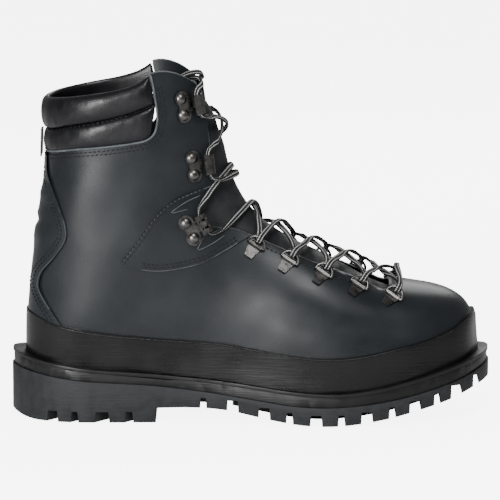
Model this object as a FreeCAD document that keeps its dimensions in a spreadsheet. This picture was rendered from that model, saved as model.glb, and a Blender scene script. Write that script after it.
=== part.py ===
"""Mountaineering boot, right foot: a one-piece leather upper on a welted lug sole.

Frame: +X runs from heel to toe, +Y to the inner side of the foot, +Z up.  The origin is at the
bottom centre of the boot's box, on the ground.  All sizes are in millimetres.
"""
import FreeCAD, Part

import math
import os

from FreeCAD import Matrix, Placement, Rotation, Vector

DOC = FreeCAD.newDocument("mountaineering_boot")

# --------------------------------------------------------------------------- driving dimensions

DIMENSIONS = {
    "outsole_length": 315.0,
    "outsole_width": 112.4,
    "boot_height": 230.0,
    "leather_thick": 2.2,
    "stiffener_thick": 1.0,
    "lining_thick": 1.6,
    "gusset_thick": 1.0,
    "tongue_thick": 4.0,
    "tongue_rise": 2.6,
    "overlay_thick": 1.3,
    "collar_stand": 2.6,
    "rand_thick": 2.3,
    "layer_gap": 0.1,
    "welt_thick": 2.2,
    "welt_width": 16.0,
    "midsole_step": 1.2,
    "insole_thick": 2.4,
    "footbed_thick": 4.0,
    "shank_thick": 1.2,
    "shank_width": 22.0,
    "shank_length": 120.0,
    "lug_depth": 7.0,
    "lug_reach": 23.0,
    "groove_wide": 6.6,
    "groove_narrow": 3.4,
    "groove_flare": 1.0,
    "ring_radius": 5.9,
    "ring_wire": 0.9,
    "ring_running": 0.05,
    "clip_width": 9.4,
    "clip_foot": 5.4,
    "clip_length": 9.5,
    "clip_sheet": 0.9,
    "hook_lobe": 5.0,
    "hook_pitch": 11.0,
    "hook_sheet": 1.1,
    "hook_throat": 4.2,
    "hook_width": 13.0,
    "hook_reach": 10.5,
    "hook_lip": 4.5,
    "rivet_head": 3.7,
    "rivet_dome": 1.7,
    "rivet_shank": 1.5,
    "lace_diameter": 2.4,
    "aglet_diameter": 3.0,
    "aglet_length": 22.0,
}

SHEET = DOC.addObject("Spreadsheet::Sheet", "Sizes")
for row, (alias, value) in enumerate(DIMENSIONS.items(), start=1):
    SHEET.set("A%d" % row, alias)
    SHEET.set("B%d" % row, str(value))
    SHEET.setAlias("B%d" % row, alias)
DOC.recompute()


def size(alias):
    """Return one driving dimension from the sheet."""
    return float(SHEET.get(alias))


# The shape below is drawn for a boot of these outer sizes and follows the sheet in proportion.
SCALE_X = size("outsole_length") / 315.0
SCALE_Y = size("outsole_width") / 112.4
SCALE_Z = size("boot_height") / 230.0
GAP = size("layer_gap")
FAR = 90.0 * SCALE_Y

# --------------------------------------------------------------------------- the last's surface

# Ribs of the upper from toe to collar.  Each is a closed section in the plane through its front
# point (on the instep side) and its back point (on the sole and heel side):
# front x, front z, back x, back z, half width, middle y, place of the widest point, front and
# back roundness.
RIBS = [
    (146.8, 64.0, 146.8, 22.0, 9.5, 7.4, 0.55, 2.6, 3.0),
    (143.6, 70.5, 143.6, 18.0, 18.4, 6.8, 0.57, 2.5, 3.4),
    (138.6, 76.2, 138.6, 14.0, 26.0, 6.0, 0.58, 2.4, 3.6),
    (130.0, 81.5, 130.0, 10.0, 33.2, 5.0, 0.58, 2.3, 3.8),
    (118.0, 85.2, 118.0, 6.0, 39.6, 3.6, 0.60, 2.3, 4.0),
    (104.0, 87.5, 104.0, 3.0, 44.2, 2.4, 0.60, 2.3, 4.0),
    (88.0, 90.5, 88.0, 1.0, 46.8, 1.2, 0.60, 2.3, 4.0),
    (70.0, 99.0, 69.0, 0.0, 48.2, 0.2, 0.61, 2.2, 4.0),
    (50.0, 109.0, 47.0, 0.0, 47.2, -1.2, 0.62, 2.2, 4.0),
    (30.0, 118.5, 24.0, 0.0, 43.2, -2.4, 0.63, 2.2, 4.0),
    (15.0, 128.0, 0.0, 2.0, 38.6, -2.8, 0.62, 2.2, 3.8),
    (3.0, 139.0, -24.0, 4.0, 35.6, -2.4, 0.60, 2.2, 3.6),
    (-4.0, 149.0, -52.0, 5.0, 34.6, -1.4, 0.57, 2.2, 3.4),
    (-9.0, 160.0, -85.0, 6.0, 35.2, -0.5, 0.54, 2.2, 3.1),
    (-12.0, 170.0, -117.0, 10.0, 36.0, 0.0, 0.50, 2.2, 2.9),
    (-14.5, 180.0, -141.0, 22.0, 36.6, 0.0, 0.48, 2.2, 2.6),
    (-17.0, 188.0, -146.5, 48.0, 36.8, 0.0, 0.47, 2.2, 2.4),
    (-19.5, 196.0, -145.0, 78.0, 36.8, 0.0, 0.47, 2.2, 2.3),
    (-22.5, 205.0, -141.8, 108.0, 36.8, 0.0, 0.48, 2.2, 2.3),
    (-26.0, 215.0, -137.5, 133.0, 37.0, 0.0, 0.50, 2.2, 2.3),
    (-29.5, 226.0, -134.5, 156.0, 37.4, 0.0, 0.50, 2.3, 2.3),
    (-33.0, 238.0, -133.0, 182.0, 38.0, 0.0, 0.50, 2.3, 2.3),
    (-37.0, 252.0, -133.5, 210.0, 38.6, 0.0, 0.50, 2.3, 2.3),
    (-42.0, 268.0, -134.0, 240.0, 39.0, 0.0, 0.50, 2.3, 2.3),
]
RIB_POINTS = 36
STEP = 0.001
TURN_STEP = 0.03


def rib_at(place):
    """Interpolate the rib table at a place counted in ribs, smoothly through each rib."""
    last = len(RIBS) - 1
    first = min(max(int(math.floor(place)), 0), last - 1)
    part = place - first
    rows = [RIBS[min(max(first + shift, 0), last)] for shift in (-1, 0, 1, 2)]
    values = []
    for before, start, end, after in zip(*rows):
        values.append(0.5 * (2.0 * start + (end - before) * part
                             + (2.0 * before - 5.0 * start + 4.0 * end - after) * part ** 2
                             + (3.0 * start - before - 3.0 * end + after) * part ** 3))
    return values


def surface_point(place, turn):
    """Point of the last: turn 0 is the front of the rib, a quarter turn is its inner side."""
    front_x, front_z, back_x, back_z, half, middle, widest, round_front, round_back = rib_at(place)
    along = math.cos(turn)
    across = math.sin(turn)
    power = 2.0 / (round_front if along > 0.0 else round_back)
    reach = widest if along > 0.0 else 1.0 - widest
    share = widest - math.copysign(abs(along) ** power, along) * reach
    side = math.copysign(abs(across) ** power, across)
    return Vector((front_x + (back_x - front_x) * share) * SCALE_X,
                  (middle + half * side) * SCALE_Y,
                  (front_z + (back_z - front_z) * share) * SCALE_Z)


def rib_turns():
    """Turns of the points of a rib."""
    return [2.0 * math.pi * index / RIB_POINTS for index in range(RIB_POINTS)]


def surface_normal(place, turn):
    """Outward normal of the last, from small differences of its formula."""
    inside = min(max(place, STEP), len(RIBS) - 1 - STEP)
    up = surface_point(inside + STEP, turn) - surface_point(inside - STEP, turn)
    round_way = surface_point(inside, turn + TURN_STEP) - surface_point(inside, turn - TURN_STEP)
    return round_way.cross(up).normalize()


def side_point(x, z, side):
    """Place and turn of the surface where a side view shows x and z; side is -1 or 1."""
    def beyond(place):
        rib = rib_at(place)
        front_x, front_z = rib[0] * SCALE_X, rib[1] * SCALE_Z
        back_x, back_z = rib[2] * SCALE_X, rib[3] * SCALE_Z
        return (back_x - front_x) * (z - front_z) - (back_z - front_z) * (x - front_x)
    low, high = 0.0, float(len(RIBS) - 1)
    sign = beyond(low)
    for _ in range(50):
        middle = 0.5 * (low + high)
        if beyond(middle) * sign > 0.0:
            low = middle
        else:
            high = middle
    rib = rib_at(low)
    run_x, run_z = (rib[2] - rib[0]) * SCALE_X, (rib[3] - rib[1]) * SCALE_Z
    share = ((x - rib[0] * SCALE_X) * run_x + (z - rib[1] * SCALE_Z) * run_z) / (run_x ** 2 + run_z ** 2)
    widest = rib[6]
    if share < widest:
        along = min((widest - share) / widest, 1.0) ** (rib[7] / 2.0)
    else:
        along = -min((share - widest) / (1.0 - widest), 1.0) ** (rib[8] / 2.0)
    return low, side * math.acos(along)


def layer(offset):
    """Closed solid inside the surface that lies a distance outside (+) or inside (-) the last.

    The distance is a number, or a function of the rib's place and the turn.
    """
    distance = offset if callable(offset) else (lambda place, turn: offset)
    top = len(RIBS) - 1
    rib = RIBS[top]
    rib_run = Vector((rib[2] - rib[0]) * SCALE_X, 0.0, (rib[3] - rib[1]) * SCALE_Z).normalize()
    top_normal = rib_run.cross(Vector(0.0, 1.0, 0.0))
    rows = []
    for index in range(len(RIBS)):
        row = []
        for turn in rib_turns():
            normal = surface_normal(index, turn)
            if index == 0:
                normal = Vector(1.0, 0.0, 0.0)
            elif index == top:
                normal = (normal - top_normal * normal.dot(top_normal)).normalize()
            row.append(surface_point(index, turn) + normal * distance(index, turn))
        rows.append(row + row[:1])
    surface = Part.BSplineSurface()
    surface.interpolate(rows)
    wall = surface.toShape()
    caps = [Part.Face(Part.Wire([edge])) for edge in wall.Edges if edge.isClosed()]
    shell = Part.makeShell([wall] + caps)
    shell.sewShape()
    solid = Part.makeSolid(shell)
    return solid if solid.Volume > 0.0 else solid.reversed()


LAYERS = {}


def body_at(offset):
    """The layer at a constant distance, made once for each distance."""
    key = round(offset, 4)
    if key not in LAYERS:
        LAYERS[key] = layer(key)
    return LAYERS[key]


# --------------------------------------------------------------------------- side view regions

def side_spot(x, z, y=0.0):
    """A point of the side view, carried to the sheet's proportions."""
    return Vector(x * SCALE_X, y, z * SCALE_Z)


def side_region(runs, y_low, y_high):
    """Solid between two values of y whose side view is closed by runs of points.

    A run of two points is straight and a longer one is a smooth curve through its points.  Each
    run starts where the one before it ends, and the last ends where the first starts.
    """
    edges = []
    for run in runs:
        points = [side_spot(x, z, y_low) for x, z in run]
        if len(points) == 2:
            edges.append(Part.LineSegment(points[0], points[1]).toShape())
        else:
            curve = Part.BSplineCurve()
            curve.interpolate(points)
            edges.append(curve.toShape())
    return Part.Face(Part.Wire(edges)).extrude(Vector(0.0, y_high - y_low, 0.0))


def lifted(points, rise):
    """The same run of side view points, a little higher; the rise is in real millimetres."""
    return [(x, z + rise / SCALE_Z) for x, z in points]


def band(lower, upper, y_low=-FAR, y_high=FAR):
    """Side view region between a lower and an upper run that both go from heel to toe."""
    return side_region([lower, [lower[-1], upper[-1]], list(reversed(upper)), [upper[0], lower[0]]],
                       y_low, y_high)


# The sole is a rocker: these lines give its height from the heel to the toe.
GROUND_LINE = [(-160.0, 5.0), (-151.0, 1.6), (-140.0, 0.0)]
HEEL_FLAT = [(-140.0, 0.0), (-62.0, 0.0)]
ARCH_LINE = [(-62.0, 9.5), (-23.0, 9.5), (-10.0, 8.0), (0.0, 6.0), (16.0, 3.0), (33.0, 0.7),
             (50.0, 0.1), (66.0, 1.2), (85.0, 4.0), (100.0, 7.2), (115.0, 11.0), (128.0, 14.5),
             (143.0, 19.8), (160.0, 25.0)]
MIDSOLE_LINE = [(-160.0, 34.0), (-134.0, 30.0), (-113.0, 27.4), (-92.0, 26.0), (-66.0, 24.4),
                (-40.0, 21.6), (0.0, 16.5), (21.0, 13.6), (42.0, 12.3), (63.0, 12.9), (84.0, 15.2),
                (105.0, 19.0), (126.0, 24.2), (147.0, 30.5), (160.0, 36.0)]
WELT_LINE = [(-160.0, 44.6), (-134.0, 39.0), (-113.0, 35.8), (-92.0, 33.8), (-71.0, 32.5),
             (-50.0, 30.6), (-29.0, 28.8), (0.0, 25.6), (21.0, 23.0), (42.0, 21.4), (60.0, 21.4),
             (76.0, 23.2), (95.0, 26.8), (116.0, 32.0), (137.0, 37.6), (160.0, 44.0)]
RAND_LINE = [(-160.0, 72.0), (-148.0, 70.0), (-134.0, 65.0), (-121.0, 62.0), (-92.0, 57.6),
             (-50.0, 54.2), (-20.0, 52.4), (0.0, 49.6), (25.0, 45.6), (50.0, 43.8), (73.0, 45.4),
             (95.0, 49.8), (116.0, 54.4), (131.0, 59.0), (144.0, 66.0), (160.0, 76.0)]
SKY = 290.0

# Plan outline of the sole, clockwise from the tip of the toe as seen from above.
PLAN = [(157.5, 8.0), (152.6, -13.5), (140.0, -31.0), (119.0, -44.5), (92.0, -52.8),
        (62.0, -56.2), (32.0, -54.0), (0.0, -47.5), (-32.0, -41.5), (-64.0, -40.0),
        (-96.0, -41.0), (-124.0, -38.5), (-144.0, -27.0), (-155.0, -11.0), (-157.5, 1.0),
        (-155.0, 12.5), (-144.0, 27.5), (-124.0, 38.5), (-96.0, 40.5), (-64.0, 38.0),
        (-32.0, 36.5), (0.0, 41.0), (32.0, 50.0), (62.0, 55.6), (92.0, 56.0), (119.0, 51.0),
        (140.0, 41.5), (152.6, 27.5)]


def outline_prism(points, z_low=-20.0, z_high=120.0):
    """Upright solid inside a smooth closed plan outline."""
    curve = Part.BSplineCurve()
    curve.interpolate(Points=[Vector(x, y, z_low) for x, y in points], PeriodicFlag=True)
    face = Part.Face(Part.Wire([curve.toShape()]))
    return face.extrude(Vector(0.0, 0.0, z_high - z_low))


def plan_prism(inset):
    """Upright solid inside the sole's outline, moved square to the outline by an inset."""
    corners = [Vector(x * SCALE_X, y * SCALE_Y, 0.0) for x, y in PLAN]
    if inset == 0.0:
        return outline_prism([(corner.x, corner.y) for corner in corners])
    curve = Part.BSplineCurve()
    curve.interpolate(Points=corners, PeriodicFlag=True)
    first, last = curve.FirstParameter, curve.LastParameter
    count = 4 * len(PLAN)
    points = []
    for index in range(count):
        place = first + (last - first) * index / count
        tangent = Vector(*curve.tangent(place)[0])
        spot = curve.value(place) + tangent.cross(Vector(0.0, 0.0, 1.0)) * inset
        points.append((spot.x, spot.y))
    return outline_prism(points)


def core_prism(reach):
    """Upright solid inside the sole's outline drawn smaller, so that it clears sharp bends."""
    half_length = 0.5 * size("outsole_length")
    half_width = 0.5 * size("outsole_width")
    return outline_prism([(x * SCALE_X * (1.0 - reach / half_length),
                           y * SCALE_Y * (1.0 - reach / half_width)) for x, y in PLAN])


def height(line, x):
    """Height of a side view line at x, in the drawing's own proportions."""
    for (x_low, z_low), (x_high, z_high) in zip(line, line[1:]):
        if x_low <= x <= x_high:
            return z_low + (z_high - z_low) * (x - x_low) / (x_high - x_low)
    return line[-1][1]


# --------------------------------------------------------------------------- document helpers

PIECES = {}


def keep(name, shape):
    """Add a sub-part whose freeform shape is worked out above; its name is its label."""
    piece = DOC.addObject("Part::Feature", name)
    piece.Label = name
    solids = shape.Solids
    biggest = max(solid.Volume for solid in solids)
    solids = [solid for solid in solids if solid.Volume > 0.02 * biggest]
    piece.Shape = solids[0] if len(solids) == 1 else Part.makeCompound(solids)
    PIECES[name] = piece
    return piece


def keep_group(name, shapes):
    """Add identical small pieces as one sub-part of separate solids."""
    piece = DOC.addObject("Part::Feature", name)
    piece.Label = name
    piece.Shape = Part.makeCompound(shapes)
    PIECES[name] = piece
    return piece


def fuse(shapes):
    """One shape from many."""
    first, rest = shapes[0], shapes[1:]
    return first.multiFuse(rest) if rest else first


def shell(outside, inside, region):
    """The stretch of a layer between two distances from the last that lies in a region."""
    return body_at(outside).common(region).cut(body_at(inside))


# --------------------------------------------------------------------------- sole

HEEL_GROOVES = [(-132.7, "groove_wide"), (-115.1, "groove_narrow"),
                (-96.6, "groove_wide"), (-79.3, "groove_narrow")]
FORE_GROOVES = [(-31.0, "groove_narrow"), (-11.8, "groove_wide"), (8.8, "groove_wide"),
                (25.3, "groove_narrow"), (42.6, "groove_wide"), (59.1, "groove_narrow"),
                (75.7, "groove_wide"), (92.2, "groove_narrow"), (107.2, "groove_wide"),
                (121.7, "groove_narrow"), (134.6, "groove_wide"), (147.9, "groove_narrow")]
CENTRE_GROOVES = [-118.0, -92.0, -14.0, 17.0, 50.0, 84.0, 115.0]
HEEL_SKEW = 37.0
TREAD_LINE = [(-160.0, 0.0), (-62.0, 0.0)] + ARCH_LINE
HEEL_EDGE = 40.0


def groove(x, width, y_low, y_high):
    """Upright channel across the tread at x, a little wider at the ground."""
    top = height(TREAD_LINE, x) * SCALE_Z + size("lug_depth")
    flare = size("groove_flare")
    corners = [(-0.5 * width - flare, -5.0), (0.5 * width + flare, -5.0),
               (0.5 * width, top), (-0.5 * width, top)]
    points = [Vector(x * SCALE_X + dx, y_low, z) for dx, z in corners]
    face = Part.Face(Part.makePolygon(points + points[:1]))
    return face.extrude(Vector(0.0, y_high - y_low, 0.0))


def make_outsole():
    """Lug sole: a rocker slab with side channels, a channel round its middle and a heel breast."""
    side = side_region([GROUND_LINE, HEEL_FLAT, [HEEL_FLAT[-1], ARCH_LINE[0]], ARCH_LINE,
                        [ARCH_LINE[-1], MIDSOLE_LINE[-1]], list(reversed(MIDSOLE_LINE)),
                        [MIDSOLE_LINE[0], GROUND_LINE[0]]], -FAR, FAR)
    blank = plan_prism(0.0).common(side)
    inner = core_prism(size("lug_reach"))
    core = core_prism(size("lug_reach") + size("groove_narrow"))
    channels = [groove(x, size(width), -FAR, FAR) for x, width in FORE_GROOVES]
    for x, width in HEEL_GROOVES:
        for side_sign in (-1.0, 1.0):
            cut = groove(x, size(width), min(0.0, side_sign * FAR), max(0.0, side_sign * FAR))
            cut.rotate(Vector(x * SCALE_X, side_sign * HEEL_EDGE * SCALE_Y, 0.0), Vector(0.0, 0.0, 1.0),
                       side_sign * HEEL_SKEW)
            channels.append(cut)
    edge_cuts = fuse(channels).cut(inner)
    floor = [(x, z) for x, z in TREAD_LINE[2:]]
    under_fore = band([(x, -8.0) for x, z in floor], lifted(floor, size("lug_depth")))
    under_heel = side_region([[(-160.0, -8.0), (-62.0, -8.0)], [(-62.0, -8.0), (-62.0, 7.0)],
                              [(-62.0, 7.0), (-160.0, 7.0)], [(-160.0, 7.0), (-160.0, -8.0)]], -FAR, FAR)
    moat = inner.cut(core)
    ring_cuts = fuse([moat.common(under_fore), moat.common(under_heel)])
    centre_cuts = fuse([groove(x, size("groove_narrow"), -FAR, FAR) for x in CENTRE_GROOVES]).common(inner)
    return blank.cut(edge_cuts).cut(ring_cuts).cut(centre_cuts)


WELT_UNDER = lifted(WELT_LINE, -size("welt_thick"))

keep("outsole", make_outsole())
keep("midsole", plan_prism(size("midsole_step")).common(
    band(lifted(MIDSOLE_LINE, GAP), lifted(WELT_UNDER, -GAP))))
welt_slab = band(WELT_UNDER, WELT_LINE)
keep("welt", plan_prism(0.5).cut(plan_prism(size("welt_width"))).common(welt_slab))

SHANK_MIDDLE = -35.0
SHANK_RISE = 0.4


def shank_plan(extra):
    """Slot-shaped upright solid for the shank, or for its pocket with a little extra."""
    half = 0.5 * size("shank_width") + extra
    reach = 0.5 * size("shank_length") - 0.5 * size("shank_width")
    middle = SHANK_MIDDLE * SCALE_X
    slot = Part.makeBox(2.0 * reach, 2.0 * half, 120.0, Vector(middle - reach, -half, -10.0))
    ends = [Part.makeCylinder(half, 120.0, Vector(middle + end * reach, 0.0, -10.0)) for end in (-1.0, 1.0)]
    return fuse([slot] + ends)


keep("cork_filler", plan_prism(size("welt_width") + GAP).common(welt_slab).cut(shank_plan(GAP)))
shank_line = lifted(WELT_UNDER, SHANK_RISE)
keep("shank", shank_plan(0.0).common(band(shank_line, lifted(shank_line, size("shank_thick")))))

# --------------------------------------------------------------------------- upper

LEATHER_IN = -size("leather_thick")
STIFF_OUT = LEATHER_IN - GAP
STIFF_IN = STIFF_OUT - size("stiffener_thick")
LINING_OUT = STIFF_IN - GAP
LINING_IN = LINING_OUT - size("lining_thick")
GUSSET_OUT = LINING_IN - GAP
GUSSET_IN = GUSSET_OUT - size("gusset_thick")
TONGUE_SIDE = GUSSET_IN - GAP
OVERLAY_IN = GAP
OVERLAY_OUT = GAP + size("overlay_thick")
RAND_OUT = GAP + size("rand_thick")
COLLAR_OUT = size("collar_stand")

TOP_LINE = [(-160.0, 206.0), (-133.0, 211.0), (-114.0, 214.0), (-102.0, 216.0), (-89.0, 218.2),
            (-77.0, 221.5), (-70.0, 225.0), (-65.0, 228.8)]
QUARTER_TOP = [(-65.0, 228.8), (-60.0, 229.9), (-54.0, 229.6), (-48.0, 228.0), (-42.0, 225.0),
               (-36.0, 220.6), (-31.0, 214.0)]
FACING_EDGE = [(-31.0, 214.0), (-29.0, 197.5), (-27.0, 183.5), (-26.0, 170.0), (-26.0, 156.0),
               (-29.0, 144.0), (-33.0, 136.0)]
THROAT_EDGE = [(-33.0, 136.0), (-31.0, 130.5), (-24.0, 127.6), (-12.0, 126.4), (0.0, 122.0),
               (20.0, 113.0), (40.0, 104.4), (60.0, 97.0), (76.0, 90.0), (84.0, 86.0),
               (89.5, 85.6), (92.0, 92.0)]
PIPING_LINE = [(-160.0, 172.0), (-132.0, 175.5), (-114.0, 179.0), (-95.0, 181.2), (-77.0, 183.6),
               (-68.0, 185.6), (-63.0, 189.6), (-61.0, 196.0)]
COLLAR_FRONT = [(-61.0, 196.0), (-60.8, 203.0), (-62.0, 212.0), (-63.4, 221.0), (-65.0, 228.8)]
ROLL_SEAM = [(-160.0, 186.0), (-131.0, 190.0), (-118.0, 193.6), (-102.0, 196.8), (-89.0, 199.8),
             (-77.0, 203.0), (-61.6, 208.6)]

ABOVE_WELT = side_region([lifted(WELT_LINE, GAP), [(160.0, WELT_LINE[-1][1] + GAP / SCALE_Z), (160.0, SKY)],
                          [(160.0, SKY), (-160.0, SKY)],
                          [(-160.0, SKY), (-160.0, WELT_LINE[0][1] + GAP / SCALE_Z)]], -FAR, FAR)
THROAT = side_region([FACING_EDGE, THROAT_EDGE, [(92.0, 92.0), (92.0, 150.0)], [(92.0, 150.0), (60.0, SKY)],
                      [(60.0, SKY), (-31.0, SKY)], [(-31.0, SKY), (-31.0, 214.0)]], -FAR, FAR)
ABOVE_TOP = side_region([TOP_LINE, QUARTER_TOP, [(-31.0, 214.0), (-31.0, SKY)],
                         [(-31.0, SKY), (-160.0, SKY)], [(-160.0, SKY), (-160.0, 206.0)]], -FAR, FAR)
COLLAR_AREA = side_region([PIPING_LINE, COLLAR_FRONT, [(-65.0, 228.8), (-65.0, SKY)],
                           [(-65.0, SKY), (-160.0, SKY)], [(-160.0, SKY), (-160.0, 172.0)]], -FAR, FAR)
OPENINGS = fuse([THROAT, ABOVE_TOP])
UPPER_AREA = ABOVE_WELT.cut(OPENINGS)

keep("upper_leather", shell(0.0, LEATHER_IN, UPPER_AREA).cut(COLLAR_AREA))
keep("lining", shell(LINING_OUT, LINING_IN, UPPER_AREA))

COUNTER_TOP = [(-160.0, 108.0), (-130.0, 106.0), (-100.0, 92.0), (-72.0, 64.0), (-58.0, 40.0)]
keep("heel_counter", shell(STIFF_OUT, STIFF_IN, ABOVE_WELT.common(side_region(
    [COUNTER_TOP, [(-58.0, 40.0), (-58.0, 10.0)], [(-58.0, 10.0), (-160.0, 10.0)],
     [(-160.0, 10.0), (-160.0, 108.0)]], -FAR, FAR))))
PUFF_EDGE = [(104.0, 110.0), (101.0, 80.0), (92.0, 55.0), (82.0, 30.0), (78.0, 8.0)]
keep("toe_puff", shell(STIFF_OUT, STIFF_IN, ABOVE_WELT.common(side_region(
    [PUFF_EDGE, [(78.0, 8.0), (160.0, 8.0)], [(160.0, 8.0), (160.0, 110.0)],
     [(160.0, 110.0), (104.0, 110.0)]], -FAR, FAR))))

insole_low = lifted(WELT_LINE, GAP)
insole_high = lifted(insole_low, size("insole_thick"))
footbed_low = lifted(insole_high, GAP)
footbed_high = lifted(footbed_low, size("footbed_thick"))
keep("insole_board", body_at(LINING_IN - 2.0 * GAP).common(band(insole_low, insole_high)))
keep("footbed", body_at(LINING_IN - 4.0 * GAP).common(band(footbed_low, footbed_high)))


def shifted(points, dx, dz):
    """The same run moved in the side view."""
    return [(x + dx, z + dz) for x, z in points]


EDGE_RUN = FACING_EDGE + THROAT_EDGE[1:]
GUSSET_REACH = 21.0 * SCALE_Y
gusset_back = shifted(EDGE_RUN, -7.0, -7.0)
gusset_front = shifted(EDGE_RUN, 1.2, 1.5)
for name, y_low, y_high in (("gusset_lateral", -FAR, -GUSSET_REACH), ("gusset_medial", GUSSET_REACH, FAR)):
    area = side_region([gusset_back[:7], gusset_back[6:], [gusset_back[-1], gusset_front[-1]],
                        list(reversed(gusset_front[6:])), list(reversed(gusset_front[:7])),
                        [gusset_front[0], gusset_back[0]]], y_low, y_high)
    keep(name, shell(GUSSET_OUT, GUSSET_IN, area))

TONGUE_START, TONGUE_FULL = 5.5, 8.5
TONGUE_LEAN, TONGUE_TOP = 17.0, 20.0
TONGUE_SPREAD = 0.42


def ease(value):
    """Smooth step from 0 to 1."""
    value = min(max(value, 0.0), 1.0)
    return value * value * (3.0 - 2.0 * value)


def tongue_outside(place, turn):
    """The tongue swells up between the facings and leans back into the shaft at its top."""
    away = min(turn, 2.0 * math.pi - turn)
    crown = ease(1.0 - away / TONGUE_SPREAD)
    lift = size("tongue_rise") * ease((place - TONGUE_START) / (TONGUE_FULL - TONGUE_START))
    lean = 2.0 * size("tongue_rise") * ease((place - TONGUE_LEAN) / (TONGUE_TOP - TONGUE_LEAN))
    return TONGUE_SIDE + crown * (lift - lean)


def tongue_inside(place, turn):
    """Inner face of the tongue."""
    return tongue_outside(place, turn) - size("tongue_thick")


tongue_back = shifted(EDGE_RUN, -11.0, -12.0)
TONGUE_AREA = side_region([tongue_back[:7], tongue_back[6:], [tongue_back[-1], (99.0, 74.0)],
                           [(99.0, 74.0), (99.0, 150.0)], [(99.0, 150.0), (0.0, 205.0)],
                           [(0.0, 205.0), (-44.0, 221.0)], [(-44.0, 221.0), tongue_back[0]]], -FAR, FAR)
keep("tongue", layer(tongue_outside).common(TONGUE_AREA).cut(layer(tongue_inside)))

# --------------------------------------------------------------------------- overlays and collar

BACKSTAY_EDGE = [(-133.7, 174.0), (-133.3, 162.0), (-130.3, 154.0), (-124.4, 139.5),
                 (-120.6, 128.0), (-121.0, 118.6), (-128.4, 107.0), (-136.3, 97.0),
                 (-139.0, 88.0), (-136.3, 80.7), (-130.3, 71.5), (-124.0, 62.8)]
ABOVE_RAND = side_region([lifted(RAND_LINE, GAP), [(160.0, 76.0 + GAP / SCALE_Z), (160.0, SKY)],
                          [(160.0, SKY), (-160.0, SKY)],
                          [(-160.0, SKY), (-160.0, 72.0 + GAP / SCALE_Z)]], -FAR, FAR)
backstay_area = side_region([BACKSTAY_EDGE, [(-124.0, 62.8), (-124.0, 55.0)],
                             [(-124.0, 55.0), (-160.0, 55.0)], [(-160.0, 55.0), (-160.0, 171.0)],
                             [(-160.0, 171.0), (-133.7, 174.0)]], -FAR, FAR)
keep("backstay", shell(OVERLAY_OUT, OVERLAY_IN, backstay_area.common(ABOVE_RAND)))

PATCH_TOP = [(-84.0, 105.0), (-73.4, 118.6), (-60.0, 136.6), (-46.9, 146.6), (-26.2, 154.0)]
PATCH_FRONT = [(-26.2, 154.0), (-29.4, 144.4), (-33.4, 136.0), (-31.2, 130.0), (-24.0, 127.2),
               (-12.0, 126.0), (-0.5, 121.6)]
PATCH_LOW = [(-0.5, 121.6), (-8.0, 117.5), (-17.0, 112.4), (-30.3, 105.6), (-43.6, 101.8),
             (-60.0, 99.8), (-73.4, 101.2), (-84.0, 105.0)]
for name, y_low, y_high in (("ankle_patch_lateral", -FAR, -2.0), ("ankle_patch_medial", 2.0, FAR)):
    keep(name, shell(OVERLAY_OUT, OVERLAY_IN,
                     side_region([PATCH_TOP, PATCH_FRONT, PATCH_LOW], y_low, y_high)))

keep("rand", shell(RAND_OUT, OVERLAY_IN, band(lifted(WELT_LINE, GAP), RAND_LINE)))

lower_roll = side_region([PIPING_LINE, [(-61.0, 196.0), (-61.6, 208.6)], list(reversed(ROLL_SEAM)),
                          [(-160.0, 186.0), (-160.0, 172.0)]], -FAR, FAR)
upper_roll = side_region([ROLL_SEAM, [(-61.6, 208.6), (-65.0, 228.8)], list(reversed(TOP_LINE)),
                          [(-160.0, 206.0), (-160.0, 186.0)]], -FAR, FAR)
keep("collar_lower_roll", shell(COLLAR_OUT - 0.8, LEATHER_IN, lower_roll))
keep("collar_upper_roll", shell(COLLAR_OUT + 1.0, LEATHER_IN, upper_roll))
PULL_HALF = 8.0
pull_area = side_region([[(-160.0, 171.0), (-125.0, 171.0)], [(-125.0, 171.0), (-125.0, 189.0)],
                         [(-125.0, 189.0), (-160.0, 189.0)], [(-160.0, 189.0), (-160.0, 171.0)]],
                        -PULL_HALF, PULL_HALF)
keep("heel_strap", shell(COLLAR_OUT + 2.2, COLLAR_OUT + 1.1, pull_area))

# --------------------------------------------------------------------------- metal fittings


def bound(kind, name, **expressions):
    """A parametric primitive whose properties follow the sheet."""
    item = DOC.addObject(kind, name)
    for prop, expression in expressions.items():
        item.setExpression(prop, expression)
    return item


def joined(kind, name, **links):
    """A boolean feature of the document."""
    item = DOC.addObject(kind, name)
    for prop, link in links.items():
        setattr(item, prop, link)
    return item


ALONG_X = Rotation(Vector(0.0, 1.0, 0.0), 90.0)

# D-ring: a straight bar closed by a half hoop, drawn flat with its bar on the X axis.
ring_hoop = bound("Part::Torus", "ring_hoop", Radius1="Sizes.ring_radius", Radius2="Sizes.ring_wire")
ring_hoop.Angle3 = 180.0
ring_bar = bound("Part::Cylinder", "ring_bar", Radius="Sizes.ring_wire", Height="2 * Sizes.ring_radius")
ring_bar.Placement = Placement(Vector(-size("ring_radius"), 0.0, 0.0), ALONG_X)
ring_ends = []
for end in (-1.0, 1.0):
    ball = bound("Part::Sphere", "ring_end", Radius="Sizes.ring_wire")
    ball.Placement = Placement(Vector(end * size("ring_radius"), 0.0, 0.0), Rotation())
    ring_ends.append(ball)
ring_pattern = joined("Part::MultiFuse", "ring_pattern", Shapes=[ring_hoop, ring_bar] + ring_ends)

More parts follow.
